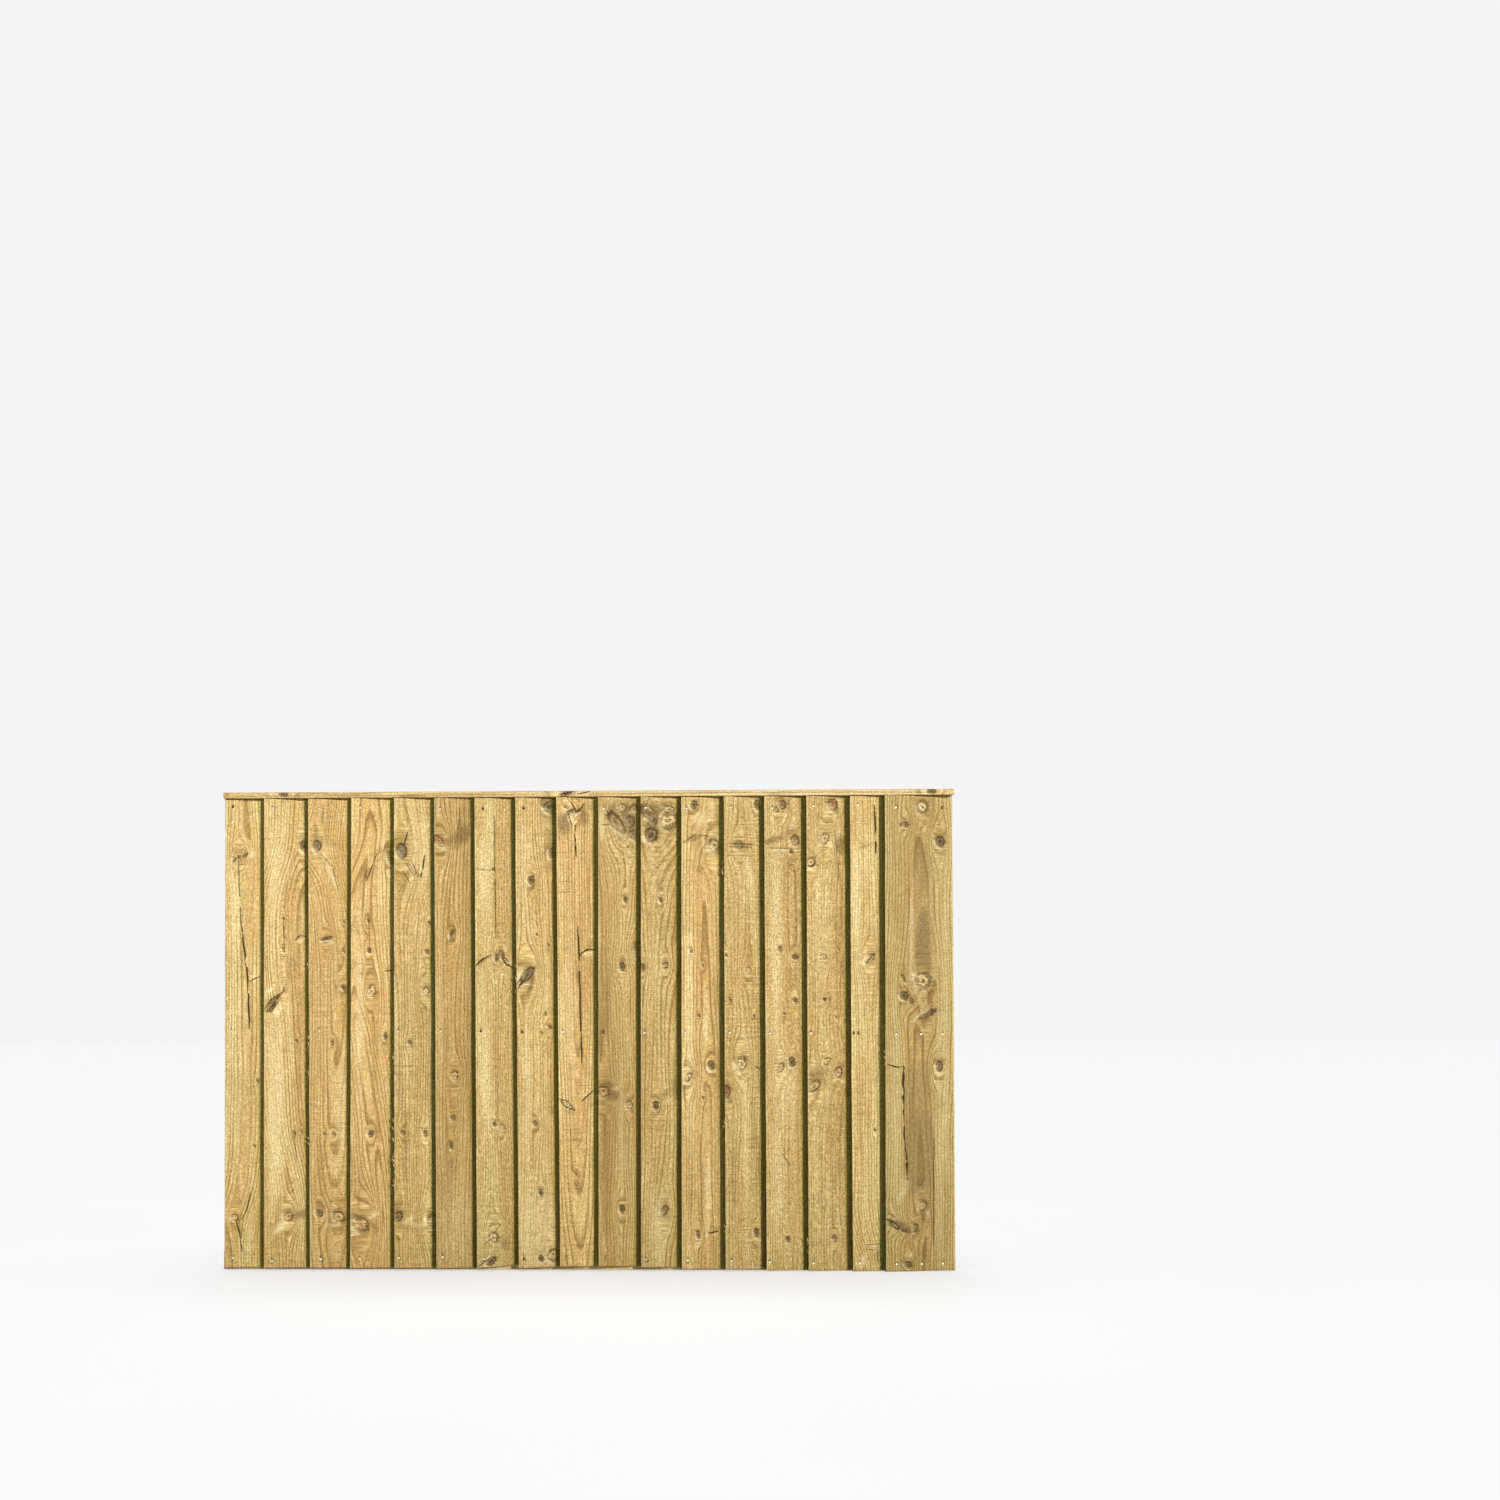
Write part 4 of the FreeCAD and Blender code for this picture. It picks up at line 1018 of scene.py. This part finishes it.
def bar_piece(node, wood, seed, radii, end_radius=0.0, nails=()):
    """A bar along X over its CAD node, with a sawn surface and any nails driven down into its top."""
    low, high = (np.array(corner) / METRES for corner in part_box(node))
    rows = grid_lines([n.head[0] for n in nails], (low[0], high[0]), BAR_GRID[1])
    rounding = end_radius * np.array([0.06, 0.22, 0.45, 0.72, 1.0])
    rows = np.unique(np.concatenate([rows, low[0] + rounding, high[0] - rounding]).round(4))
    line = [np.mean([n.head[1] for n in nails])] if nails else []
    outline, out = bar_outline(low[1:], high[1:], radii, line)

    solid = np.empty((len(rows), len(outline), 3))
    solid[..., 0] = rows[:, None]
    solid[..., 1:] = outline
    inside = np.clip(end_radius - np.minimum(rows - low[0], high[0] - rows), 0.0, end_radius)
    ceiling = high[2] - end_radius + np.sqrt(end_radius ** 2 - inside ** 2)
    solid[..., 2] = np.minimum(solid[..., 2], ceiling[:, None])

    pits = np.zeros(solid.shape[:2], bool)
    for nail in nails:
        row = int(np.abs(rows - nail.head[0]).argmin())
        column = int((np.abs(outline[:, 0] - line[0]) + (high[2] - outline[:, 1])).argmin())
        pits |= ring_in(solid, row, column, nail.head, 1, 0, turn=-1)

    across, along, deep = solid[..., 2] - low[2], solid[..., 0], solid[..., 1] - low[1]
    fields, sunk = timber_fields(across, along, deep, wood, seed)
    depth = RELIEF * sawn_depth(across + deep, along, wood, seed) + 0.6 * sunk
    depth = np.where(pits, PIT_DEPTH, depth)
    solid[..., 1:] -= out * depth[..., None]
    return stock(node + "_timber", solid, fields, node)


def nail_surface(nail, leans):
    """A nail's points about the middle of its head, as (right, up, behind), and its faces."""
    turn = np.linspace(0.0, 2 * math.pi, NAIL_SIDES, endpoint=False)
    shank = NAIL_HEAD[-1][0]
    profile = list(NAIL_HEAD) + [(shank, nail.length - NAIL_POINT), (0.2 * shank, nail.length - 0.2)]
    points = []
    for radius, behind in profile:
        right, up = radius * np.cos(turn), radius * np.sin(turn)
        lean = (right * leans[0] + up * leans[1]) * (behind < NAIL_HEAD[-1][1])
        points.extend(np.stack([right, up, behind + lean], -1))
    i, j = np.meshgrid(np.arange(len(profile) - 1), np.arange(NAIL_SIDES), indexing="ij")
    k = (j + 1) % NAIL_SIDES
    n = NAIL_SIDES
    quads = np.stack([i * n + j, (i + 1) * n + j, (i + 1) * n + k, i * n + k], -1).reshape(-1, 4)
    around = np.arange(n)
    onward = (around + 1) % n
    middle = len(points)
    below = middle - n
    front = np.stack([np.full(n, middle), around, onward], -1)
    tip = np.stack([np.full(n, middle + 1), below + onward, below + around], -1)
    points += [np.zeros(3), np.array([0.0, 0.0, nail.length])]
    return np.array(points), quads, np.concatenate([front, tip])


def nail_piece(node, axis):
    """The nails of a CAD node, driven along an axis, each with its domed head set a little askew."""
    points, quads, triangles, dark_head, count = [], [], [], [], 0
    for number, nail in enumerate(read_nails(node, axis)):
        leans = [NAIL_LEAN * share for share in draws(2, number, axis)]
        own, own_quads, own_triangles = nail_surface(nail, leans)
        right, up, behind = own.T
        way = (right, behind, up) if axis == 1 else (right, up, -behind)
        points.append(np.stack(way, -1) + nail.head)
        quads.append(own_quads + count)
        triangles.append(own_triangles + count)
        dark_head.append(np.tile([float(number in DARK_NAILS.get(node, ())), 0.0, 0.0], (len(own), 1)))
        count += len(own)
    faces = [np.concatenate(quads), np.concatenate(triangles)]
    obj = make_mesh(node + "_steel", np.concatenate(points), faces, {"dark_head": np.concatenate(dark_head)})
    obj.data.materials.append(GALVANISED)
    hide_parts(node)
    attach(obj, "root")
    return obj


# Materials

class Graph:
    """A material's nodes, written as calls that return sockets."""

    def __init__(self, name):
        self.material = bpy.data.materials.new(name)
        self.material.use_nodes = True
        self.nodes = self.material.node_tree.nodes
        self.links = self.material.node_tree.links
        self.nodes.clear()

    def node(self, kind, inputs=None, **settings):
        made = self.nodes.new(kind)
        for key, value in settings.items():
            setattr(made, key, value)
        for key, value in (inputs or {}).items():
            self.put(made.inputs[key], value)
        return made

    def put(self, socket, value):
        if isinstance(value, bpy.types.NodeSocket):
            self.links.new(value, socket)
        else:
            socket.default_value = value

    def math(self, operation, a, b=0.0):
        made = self.node("ShaderNodeMath", operation=operation)
        self.put(made.inputs[0], a)
        self.put(made.inputs[1], b)
        return made.outputs[0]

    def times(self, *values):
        product = values[0]
        for value in values[1:]:
            product = self.math("MULTIPLY", product, value)
        return product

    def plus(self, *values):
        total = values[0]
        for value in values[1:]:
            total = self.math("ADD", total, value)
        return total

    def less(self, a, b):
        return self.math("SUBTRACT", a, b)

    def scaled(self, vector, factors):
        made = self.node("ShaderNodeVectorMath", {0: vector, 1: factors}, operation="MULTIPLY")
        return made.outputs["Vector"]

    def length(self, x, y):
        made = self.node("ShaderNodeVectorMath", {0: self.join(x, y)}, operation="LENGTH")
        return made.outputs["Value"]

    def field(self, name):
        return self.split(self.node("ShaderNodeAttribute", attribute_name=name).outputs["Vector"])

    def split(self, vector):
        made = self.node("ShaderNodeSeparateXYZ", {0: vector})
        return made.outputs[0], made.outputs[1], made.outputs[2]

    def join(self, x=0.0, y=0.0, z=0.0):
        return self.node("ShaderNodeCombineXYZ", {0: x, 1: y, 2: z}).outputs[0]

    def noise(self, vector, detail=2.0, roughness=0.5, distortion=0.0, scale=1.0):
        inputs = {"Vector": vector, "Scale": scale, "Detail": detail, "Roughness": roughness}
        inputs["Distortion"] = distortion
        return self.node("ShaderNodeTexNoise", inputs).outputs["Fac"]

    def between(self, value, low, high, to_low=0.0, to_high=1.0):
        """From to_low at low to to_high at high, eased at both ends."""
        names = ("Value", "From Min", "From Max", "To Min", "To Max")
        inputs = dict(zip(names, (value, low, high, to_low, to_high)))
        return self.node("ShaderNodeMapRange", inputs, interpolation_type="SMOOTHSTEP").outputs["Result"]

    def mix(self, share, a, b, blend="MIX"):
        made = self.node("ShaderNodeMix", data_type="RGBA", blend_type=blend)
        for socket, value in ((made.inputs[0], share), (made.inputs[6], a), (made.inputs[7], b)):
            self.put(socket, value)
        return made.outputs[2]

    def bump(self, height, strength, distance):
        inputs = {"Height": height, "Strength": strength, "Distance": distance}
        return self.node("ShaderNodeBump", inputs).outputs[0]

    def finish(self, **inputs):
        inputs = {key.replace("_", " "): value for key, value in inputs.items()}
        shader = self.node("ShaderNodeBsdfPrincipled", inputs)
        out = self.node("ShaderNodeOutputMaterial")
        self.links.new(shader.outputs[0], out.inputs[0])
        return self.material


def rgb(r, g, b):
    return (r, g, b, 1.0)


STRAW = rgb(0.555, 0.415, 0.170)
HONEY = rgb(0.475, 0.320, 0.110)
AMBER = rgb(0.250, 0.146, 0.040)
HEART = rgb(0.415, 0.258, 0.082)
GREEN = rgb(0.435, 0.390, 0.152)
# Dark olive for painted shade on thick edges and beside the laps.
SHADE_OLIVE = rgb(0.176, 0.160, 0.018)
BROWN = rgb(0.170, 0.100, 0.032)
GREY = rgb(0.20, 0.165, 0.08)
PALE = rgb(0.675, 0.560, 0.310)
RED = rgb(0.34, 0.14, 0.05)
BARK = rgb(0.035, 0.024, 0.011)


# Cells of noise in a millimetre of timber: across the fibres, along them and into the timber.
BROAD = (0.035, 0.0035, 1.0)
STREAK = (0.22, 0.010, 1.0)
FIBRE = (0.42, 0.07, 1.0)
WOOL = (0.20, 0.14, 1.0)
FLECK = (0.36, 0.30, 1.0)
SAW_MARK = (0.010, 0.34, 1.0)
SAW_PATCH = (0.016, 0.007, 2.0)

# How strongly each lightens and darkens the timber.
WOOL_SHADE = (0.4, 1.3)  # on smooth timber, and how much more on fuzzy
FLECK_SHADE = 1.95
SAW_SHADE = 2.2
FIBRE_SHADE = 1.05
BLUE_POWER = 1.25  # shade is deeper in blue, so dark timber is yellower

BUMP_DEPTH = 0.0011  # of the timber's finest relief, in metres


def growth_lines(g, along):
    """A line for each year: pale spring growth that darkens slowly to a thin summer line."""
    years, _, seed = g.field("growth")
    wander = g.noise(g.join(g.times(years, 0.3), g.times(along, 0.004), seed), detail=1.0)
    count = g.plus(years, g.times(wander, 1.4))
    phase = g.math("FRACT", count)
    line = g.times(g.between(phase, 0.40, 0.84), g.between(phase, 1.0, 0.87))
    each = g.noise(g.join(g.times(count, 0.8), g.times(along, 0.0025), seed), detail=1.0)
    return g.times(line, g.between(each, 0.3, 0.62, 0.35, 1.0))


def timber_base(g, place, line):
    """Sapwood and heartwood in broad bands, with growth lines and streaks along the fibres."""
    heart = g.field("growth")[1]
    _, warm, green = g.field("tone")
    lined = g.field("cut")[2]
    broad = g.noise(g.scaled(place, BROAD), detail=2.0)
    streak = g.noise(g.scaled(place, STREAK), detail=3.0, roughness=0.7)
    colour = g.mix(g.between(broad, 0.38, 0.62), STRAW, HONEY)
    colour = g.mix(g.times(warm, 0.5), colour, HONEY)
    colour = g.mix(g.times(green, g.between(broad, 0.60, 0.38, 0.25, 0.9)), colour, GREEN)
    colour = g.mix(g.times(heart, 0.62), colour, HEART)
    colour = g.mix(g.between(streak, 0.50, 0.70, 0.0, 0.25), colour, AMBER)
    colour = g.mix(g.between(streak, 0.50, 0.32, 0.0, 0.40), colour, PALE)
    return g.mix(g.times(line, lined, g.plus(0.94, g.times(heart, 0.06))), colour, AMBER)


def stained_over(g, colour, fibre):
    """Brown, grey and pale stains, each uneven among the fibres. The brown also holds the painted shade in
    nail pits, and the pale the painted highlight along arrises.
    """
    brown, grey, pale = g.field("tint")
    colour = g.mix(g.times(brown, g.between(fibre, 0.3, 0.6, 0.45, 0.95)), colour, BROWN)
    colour = g.mix(g.times(grey, g.between(fibre, 0.3, 0.6, 0.4, 0.95)), colour, GREY)
    return g.mix(g.times(pale, g.between(fibre, 0.7, 0.4, 0.35, 0.9)), colour, PALE)


Round = namedtuple("Round", "out lean swirl weight red dark pale whole")


def about_knot(g, place):
    """A point's place about its nearest knot: how far out, and how far up to the right. And its kind."""
    wide, tall, weight = g.field("knot")
    red, dark, pale = g.field("knot_kind")
    about = g.join(wide, tall, g.times(g.split(place)[2], 0.3))
    uneven = g.less(g.noise(about, scale=1.7, detail=3.0, roughness=0.65), 0.5)
    out = g.plus(g.length(wide, tall), uneven)
    lean = g.plus(g.times(wide, 0.6), g.times(tall, 0.7), g.times(uneven, 1.4))
    return Round(out, lean, g.times(uneven, 8.0), weight, red, dark, pale, g.less(1.0, pale))


def parted_fibres(g, colour, knot):
    """The fibres round a knot darken in rings as they part, with painted shade making them darker high on
    its right and a painted highlight low on its left.
    """
    dark = g.times(knot.dark, 0.4)
    around = g.times(g.between(knot.out, 2.7, 1.1), knot.weight, g.plus(0.25, g.times(knot.whole, 0.75)))
    rounds = g.math("SINE", g.plus(g.times(knot.out, 7.0), knot.swirl))
    rounds = g.between(rounds, -0.3, 0.8, 0.3, 0.9)
    painted_shade_side = g.between(knot.lean, -1.0, 0.8, 0.4, 1.0)
    colour = g.mix(g.times(around, rounds, painted_shade_side, g.plus(0.45, dark)), colour, AMBER)
    painted_lit_side = g.times(g.between(knot.lean, -0.40, -1.10), g.between(knot.out, 2.0, 1.2), knot.weight)
    return g.mix(g.times(painted_lit_side, g.plus(0.3, dark)), colour, PALE)


def knot_inside(g, knot):
    """A knot's own colour: thin rings, some about a dark heart, and a painted highlight low on its left.
    """
    inner = g.mix(g.between(knot.dark, 0.5, 0.72), HONEY, GREY)
    inner = g.mix(g.times(knot.red, 0.85), inner, RED)
    rings = g.math("SINE", g.plus(g.times(knot.out, 10.0), knot.swirl))
    inner = g.mix(g.between(rings, 0.0, 0.8, 0.0, 1.0), inner, BROWN)
    painted_lit_side = g.times(g.between(knot.lean, 0.1, -0.7), g.between(knot.dark, 1.0, 0.5, 0.1, 0.32))
    inner = g.mix(painted_lit_side, inner, PALE)
    inner = g.mix(g.times(knot.pale, g.between(rings, 0.4, -0.4, 0.0, 0.9)), inner, PALE)
    heart = g.times(g.between(knot.out, 0.62, 0.36), g.between(knot.dark, 0.66, 0.98, 0.0, 0.82))
    return g.mix(heart, inner, BARK)


def knotted(g, colour, place):
    """Knots with dark outlines. Gives the colour, and where knots show.

    Painted highlight makes a knot lighter low on its left, and painted shade on its rim makes it darker
    high on its right, as if it stood in a hollow.
    """
    knot = about_knot(g, place)
    colour = parted_fibres(g, colour, knot)
    shown = g.times(knot.weight, g.between(knot.out, 1.05, 0.85))
    colour = g.mix(shown, colour, knot_inside(g, knot))
    rim = g.times(g.between(knot.out, 0.74, 0.94), g.between(knot.out, 1.28, 1.04))
    # Painted shade: the rim is darker high on the knot's right.
    rim = g.times(rim, g.between(knot.lean, -0.9, 0.2, 0.3, 1.0), g.plus(0.48, g.times(knot.dark, 0.38)))
    rim = g.times(rim, knot.weight, g.plus(0.6, g.times(knot.whole, 0.4)))
    return g.mix(rim, colour, BARK), shown


def cracked_over(g, colour):
    """Drying cracks, browner beside them. Gives the colour, and where cracks are open."""
    side, half, near = g.field("split")
    beyond = g.less(g.math("ABSOLUTE", side), half)
    beside = g.times(g.between(beyond, 2.6, 0.3), near, g.between(half, -0.3, 0.8))
    colour = g.mix(g.times(beside, 0.6), colour, BROWN)
    open_gap = g.times(g.between(beyond, 1.0, 0.1), near, g.between(half, -0.25, 0.25))
    return g.mix(open_gap, colour, BARK), open_gap


def shaded(g, colour, fibre, wool, sawn, place):
    """Woolly fibres, fine flecks and saw marks lighten and darken what is under them."""
    light = g.field("tone")[0]
    fuzz = g.field("cut")[1]
    fleck = g.noise(g.scaled(place, FLECK), detail=2.0, roughness=0.75)

    def swing(value, amount):
        return g.plus(1.0, g.times(value, amount))

    shade = swing(g.less(wool, 0.5), g.plus(WOOL_SHADE[0], g.times(fuzz, WOOL_SHADE[1])))
    shade = g.times(shade, swing(g.less(fleck, 0.5), FLECK_SHADE), swing(sawn, SAW_SHADE))
    shade = g.times(shade, swing(g.less(fibre, 0.5), FIBRE_SHADE), light)
    shade = g.join(shade, shade, g.math("POWER", shade, BLUE_POWER))
    return g.mix(1.0, colour, shade, blend="MULTIPLY")


def sawn_timber():
    """Rough-sawn softwood, pressure treated, with its growth, knots, stains, cracks and saw marks."""
    g = Graph("sawn_timber")
    bent, along, deep = g.field("grain")
    saw, fuzz, _ = g.field("cut")
    edge = g.field("section")[0]
    place = g.join(bent, along, g.plus(deep, g.field("growth")[2]))
    fibre = g.noise(g.scaled(place, FIBRE), detail=3.0, roughness=0.75)
    wool = g.noise(g.scaled(place, WOOL), detail=3.0, roughness=0.68, distortion=0.8)
    marks = g.noise(g.scaled(place, SAW_MARK), detail=3.0, roughness=0.7)
    marked = g.noise(g.scaled(place, SAW_PATCH), detail=1.0)
    sawn = g.times(g.less(marks, 0.5), g.between(marked, 0.38, 0.62), saw)

    line = growth_lines(g, along)
    colour = timber_base(g, place, line)
    colour = stained_over(g, colour, fibre)
    colour, shown = knotted(g, colour, place)
    colour, open_gap = cracked_over(g, colour)
    # Painted shade: thick edges and the strips beside the laps go dark olive.
    colour = g.mix(g.times(edge, 0.94), colour, SHADE_OLIVE)
    colour = shaded(g, colour, fibre, wool, sawn, place)

    height = g.plus(g.times(fibre, 0.5), g.times(wool, fuzz, 1.2), g.times(sawn, 0.9), g.times(line, 0.15))
    height = g.less(height, g.plus(g.times(open_gap, 1.4), g.times(shown, 0.4)))
    normal = g.bump(height, 1.0, BUMP_DEPTH)
    roughness = g.between(fibre, 0.3, 0.7, 0.72, 0.92)
    shine = g.between(edge, 0.0, 0.6, 0.25, 0.05)
    return g.finish(Base_Color=colour, Roughness=roughness, Specular_IOR_Level=shine, Normal=normal)


def end_grain():
    """Sawn ends: growth rings cut across, and the grey of an end that takes up water."""
    g = Graph("end_grain")
    bent, _, deep = g.field("grain")
    seed = g.field("growth")[2]
    pith = g.field("section")[1]
    around = g.noise(g.join(g.times(bent, 0.03), g.times(deep, 0.03), seed), detail=1.0)
    radius = g.length(g.less(bent, pith), g.plus(deep, 24.0))
    phase = g.math("FRACT", g.plus(g.times(radius, 0.22), g.times(around, 3.0)))
    line = g.times(g.between(phase, 0.2, 0.85), g.between(phase, 1.0, 0.9))
    pores = g.noise(g.join(bent, deep, seed), scale=1.3, detail=3.0, roughness=0.7)
    colour = g.mix(g.times(line, 0.6), HONEY, AMBER)
    colour = g.mix(g.between(pores, 0.42, 0.68, 0.1, 0.7), colour, GREY)
    normal = g.bump(pores, 0.9, 0.0008)
    return g.finish(Base_Color=colour, Roughness=0.9, Specular_IOR_Level=0.2, Normal=normal)


def galvanised():
    """Galvanised steel: a spangled coat gone dull, and some heads drawn darker."""
    g = Graph("galvanised_steel")
    place = g.scaled(g.node("ShaderNodeTexCoord").outputs["Object"], (1000.0, 1000.0, 1000.0))
    spangle = g.node("ShaderNodeTexVoronoi", {"Vector": place, "Scale": 0.9}).outputs["Distance"]
    dull = g.noise(place, scale=0.5, detail=3.0, roughness=0.7)
    colour = g.mix(g.between(spangle, 0.2, 0.8), rgb(0.80, 0.79, 0.70), rgb(0.60, 0.59, 0.52))
    colour = g.mix(g.between(dull, 0.56, 0.76, 0.0, 0.6), colour, rgb(0.30, 0.25, 0.18))
    colour = g.mix(g.times(g.field("dark_head")[0], g.between(dull, 0.3, 0.5, 0.85, 1.0)), colour, BARK)
    roughness = g.between(dull, 0.3, 0.7, 0.35, 0.65)
    normal = g.bump(spangle, 0.4, 0.0003)
    return g.finish(Base_Color=colour, Roughness=roughness, Metallic=0.5, Normal=normal)


def pale_floor():
    """A pale, matt studio floor."""
    g = Graph("studio_floor")
    mottle = g.noise(g.node("ShaderNodeTexCoord").outputs["Object"], scale=1.5)
    colour = g.mix(mottle, rgb(0.395, 0.397, 0.400), rgb(0.405, 0.407, 0.410))
    return g.finish(Base_Color=colour, Roughness=0.9, Specular_IOR_Level=0.1)


SAWN = sawn_timber()
END_GRAIN = end_grain()
GALVANISED = galvanised()


# Pieces

def dress():
    """Every piece of the panel over its CAD node."""
    board_nails = []
    for row in ("top_rail_nails", "middle_rail_nails", "bottom_rail_nails"):
        board_nails += read_nails(row, 1)
        nail_piece(row, 1)
    for number, wood in enumerate(BOARDS, 1):
        board_piece(number, wood, board_nails)
    for number in TORN:
        splinter_piece(number, BOARDS[number - 1])
    for number, (node, wood) in enumerate(RAILS.items()):
        bar_piece(node, wood, 700 + 40 * number, (1.5, 1.5))
    capping_nails = read_nails("capping_nails", 2)
    nail_piece("capping_nails", 2)
    bar_piece("capping_strip", CAPPING, 900, (3.5, CORNER), 3.5, capping_nails)


# Studio

def sun(name, light, floor):
    """A far light, which falls on the floor alone or on all but the floor."""
    data = bpy.data.lights.new(name, "SUN")
    data.energy = light.energy
    data.color = light.colour
    data.angle = math.radians(light.spread)
    data.use_shadow = light.shadows
    obj = bpy.data.objects.new(name, data)
    obj.rotation_euler = (math.pi / 2 - math.radians(light.elevation), 0.0, math.radians(light.azimuth))
    bpy.context.scene.collection.objects.link(obj)
    receivers = bpy.data.collections.new(name + "_receivers")
    receivers.objects.link(floor)
    obj.light_linking.receiver_collection = receivers
    receivers.collection_objects[0].light_linking.link_state = "INCLUDE" if light.on_floor else "EXCLUDE"


def sky():
    """A backdrop as bright as the floor to the camera, that lights the panel only faintly."""
    world = bpy.data.worlds.new("studio")
    world.use_nodes = True
    nodes, links = world.node_tree.nodes, world.node_tree.links
    background = nodes["Background"]
    background.inputs[0].default_value = rgb(*WHITE)
    seen = nodes.new("ShaderNodeLightPath").outputs["Is Camera Ray"]
    strength = nodes.new("ShaderNodeMapRange")
    strength.inputs["To Min"].default_value = SKY_LIGHT
    strength.inputs["To Max"].default_value = SKY_SEEN
    links.new(seen, strength.inputs["Value"])
    links.new(strength.outputs[0], background.inputs[1])
    return world


def studio():
    """A pale floor to the horizon, the lights and the sky."""
    sides = ((-1, -1), (1, -1), (1, 1), (-1, 1))
    corners = np.array([(x * FLOOR_REACH, y * FLOOR_REACH, 0.0) for x, y in sides])
    floor = make_mesh("studio_floor", corners, [np.array([[0, 1, 2, 3]])])
    floor.data.materials.append(pale_floor())
    for name, light in SUNS.items():
        sun(name, light, floor)
    bpy.context.scene.world = sky()
    bpy.context.scene.view_settings.view_transform = "Standard"


def set_camera():
    """The camera of the picture, which looks at the panel's front."""
    camera = bpy.data.cameras.new("camera")
    camera.lens = CAMERA_LENS
    camera.shift_x, camera.shift_y = CAMERA_SHIFT
    camera.clip_end = CAMERA_REACH * METRES
    obj = bpy.data.objects.new("camera", camera)
    front = cad_box[0].y / METRES
    obj.location = (0.0, (front - CAMERA_DISTANCE) * METRES, CAMERA_HEIGHT * METRES)
    obj.rotation_euler = (
        math.pi / 2 + math.radians(CAMERA_PITCH),
        -math.radians(CAMERA_ROLL),
        -math.radians(CAMERA_YAW),
    )
    bpy.context.scene.collection.objects.link(obj)
    bpy.context.scene.camera = obj


dress()
studio()
set_camera()
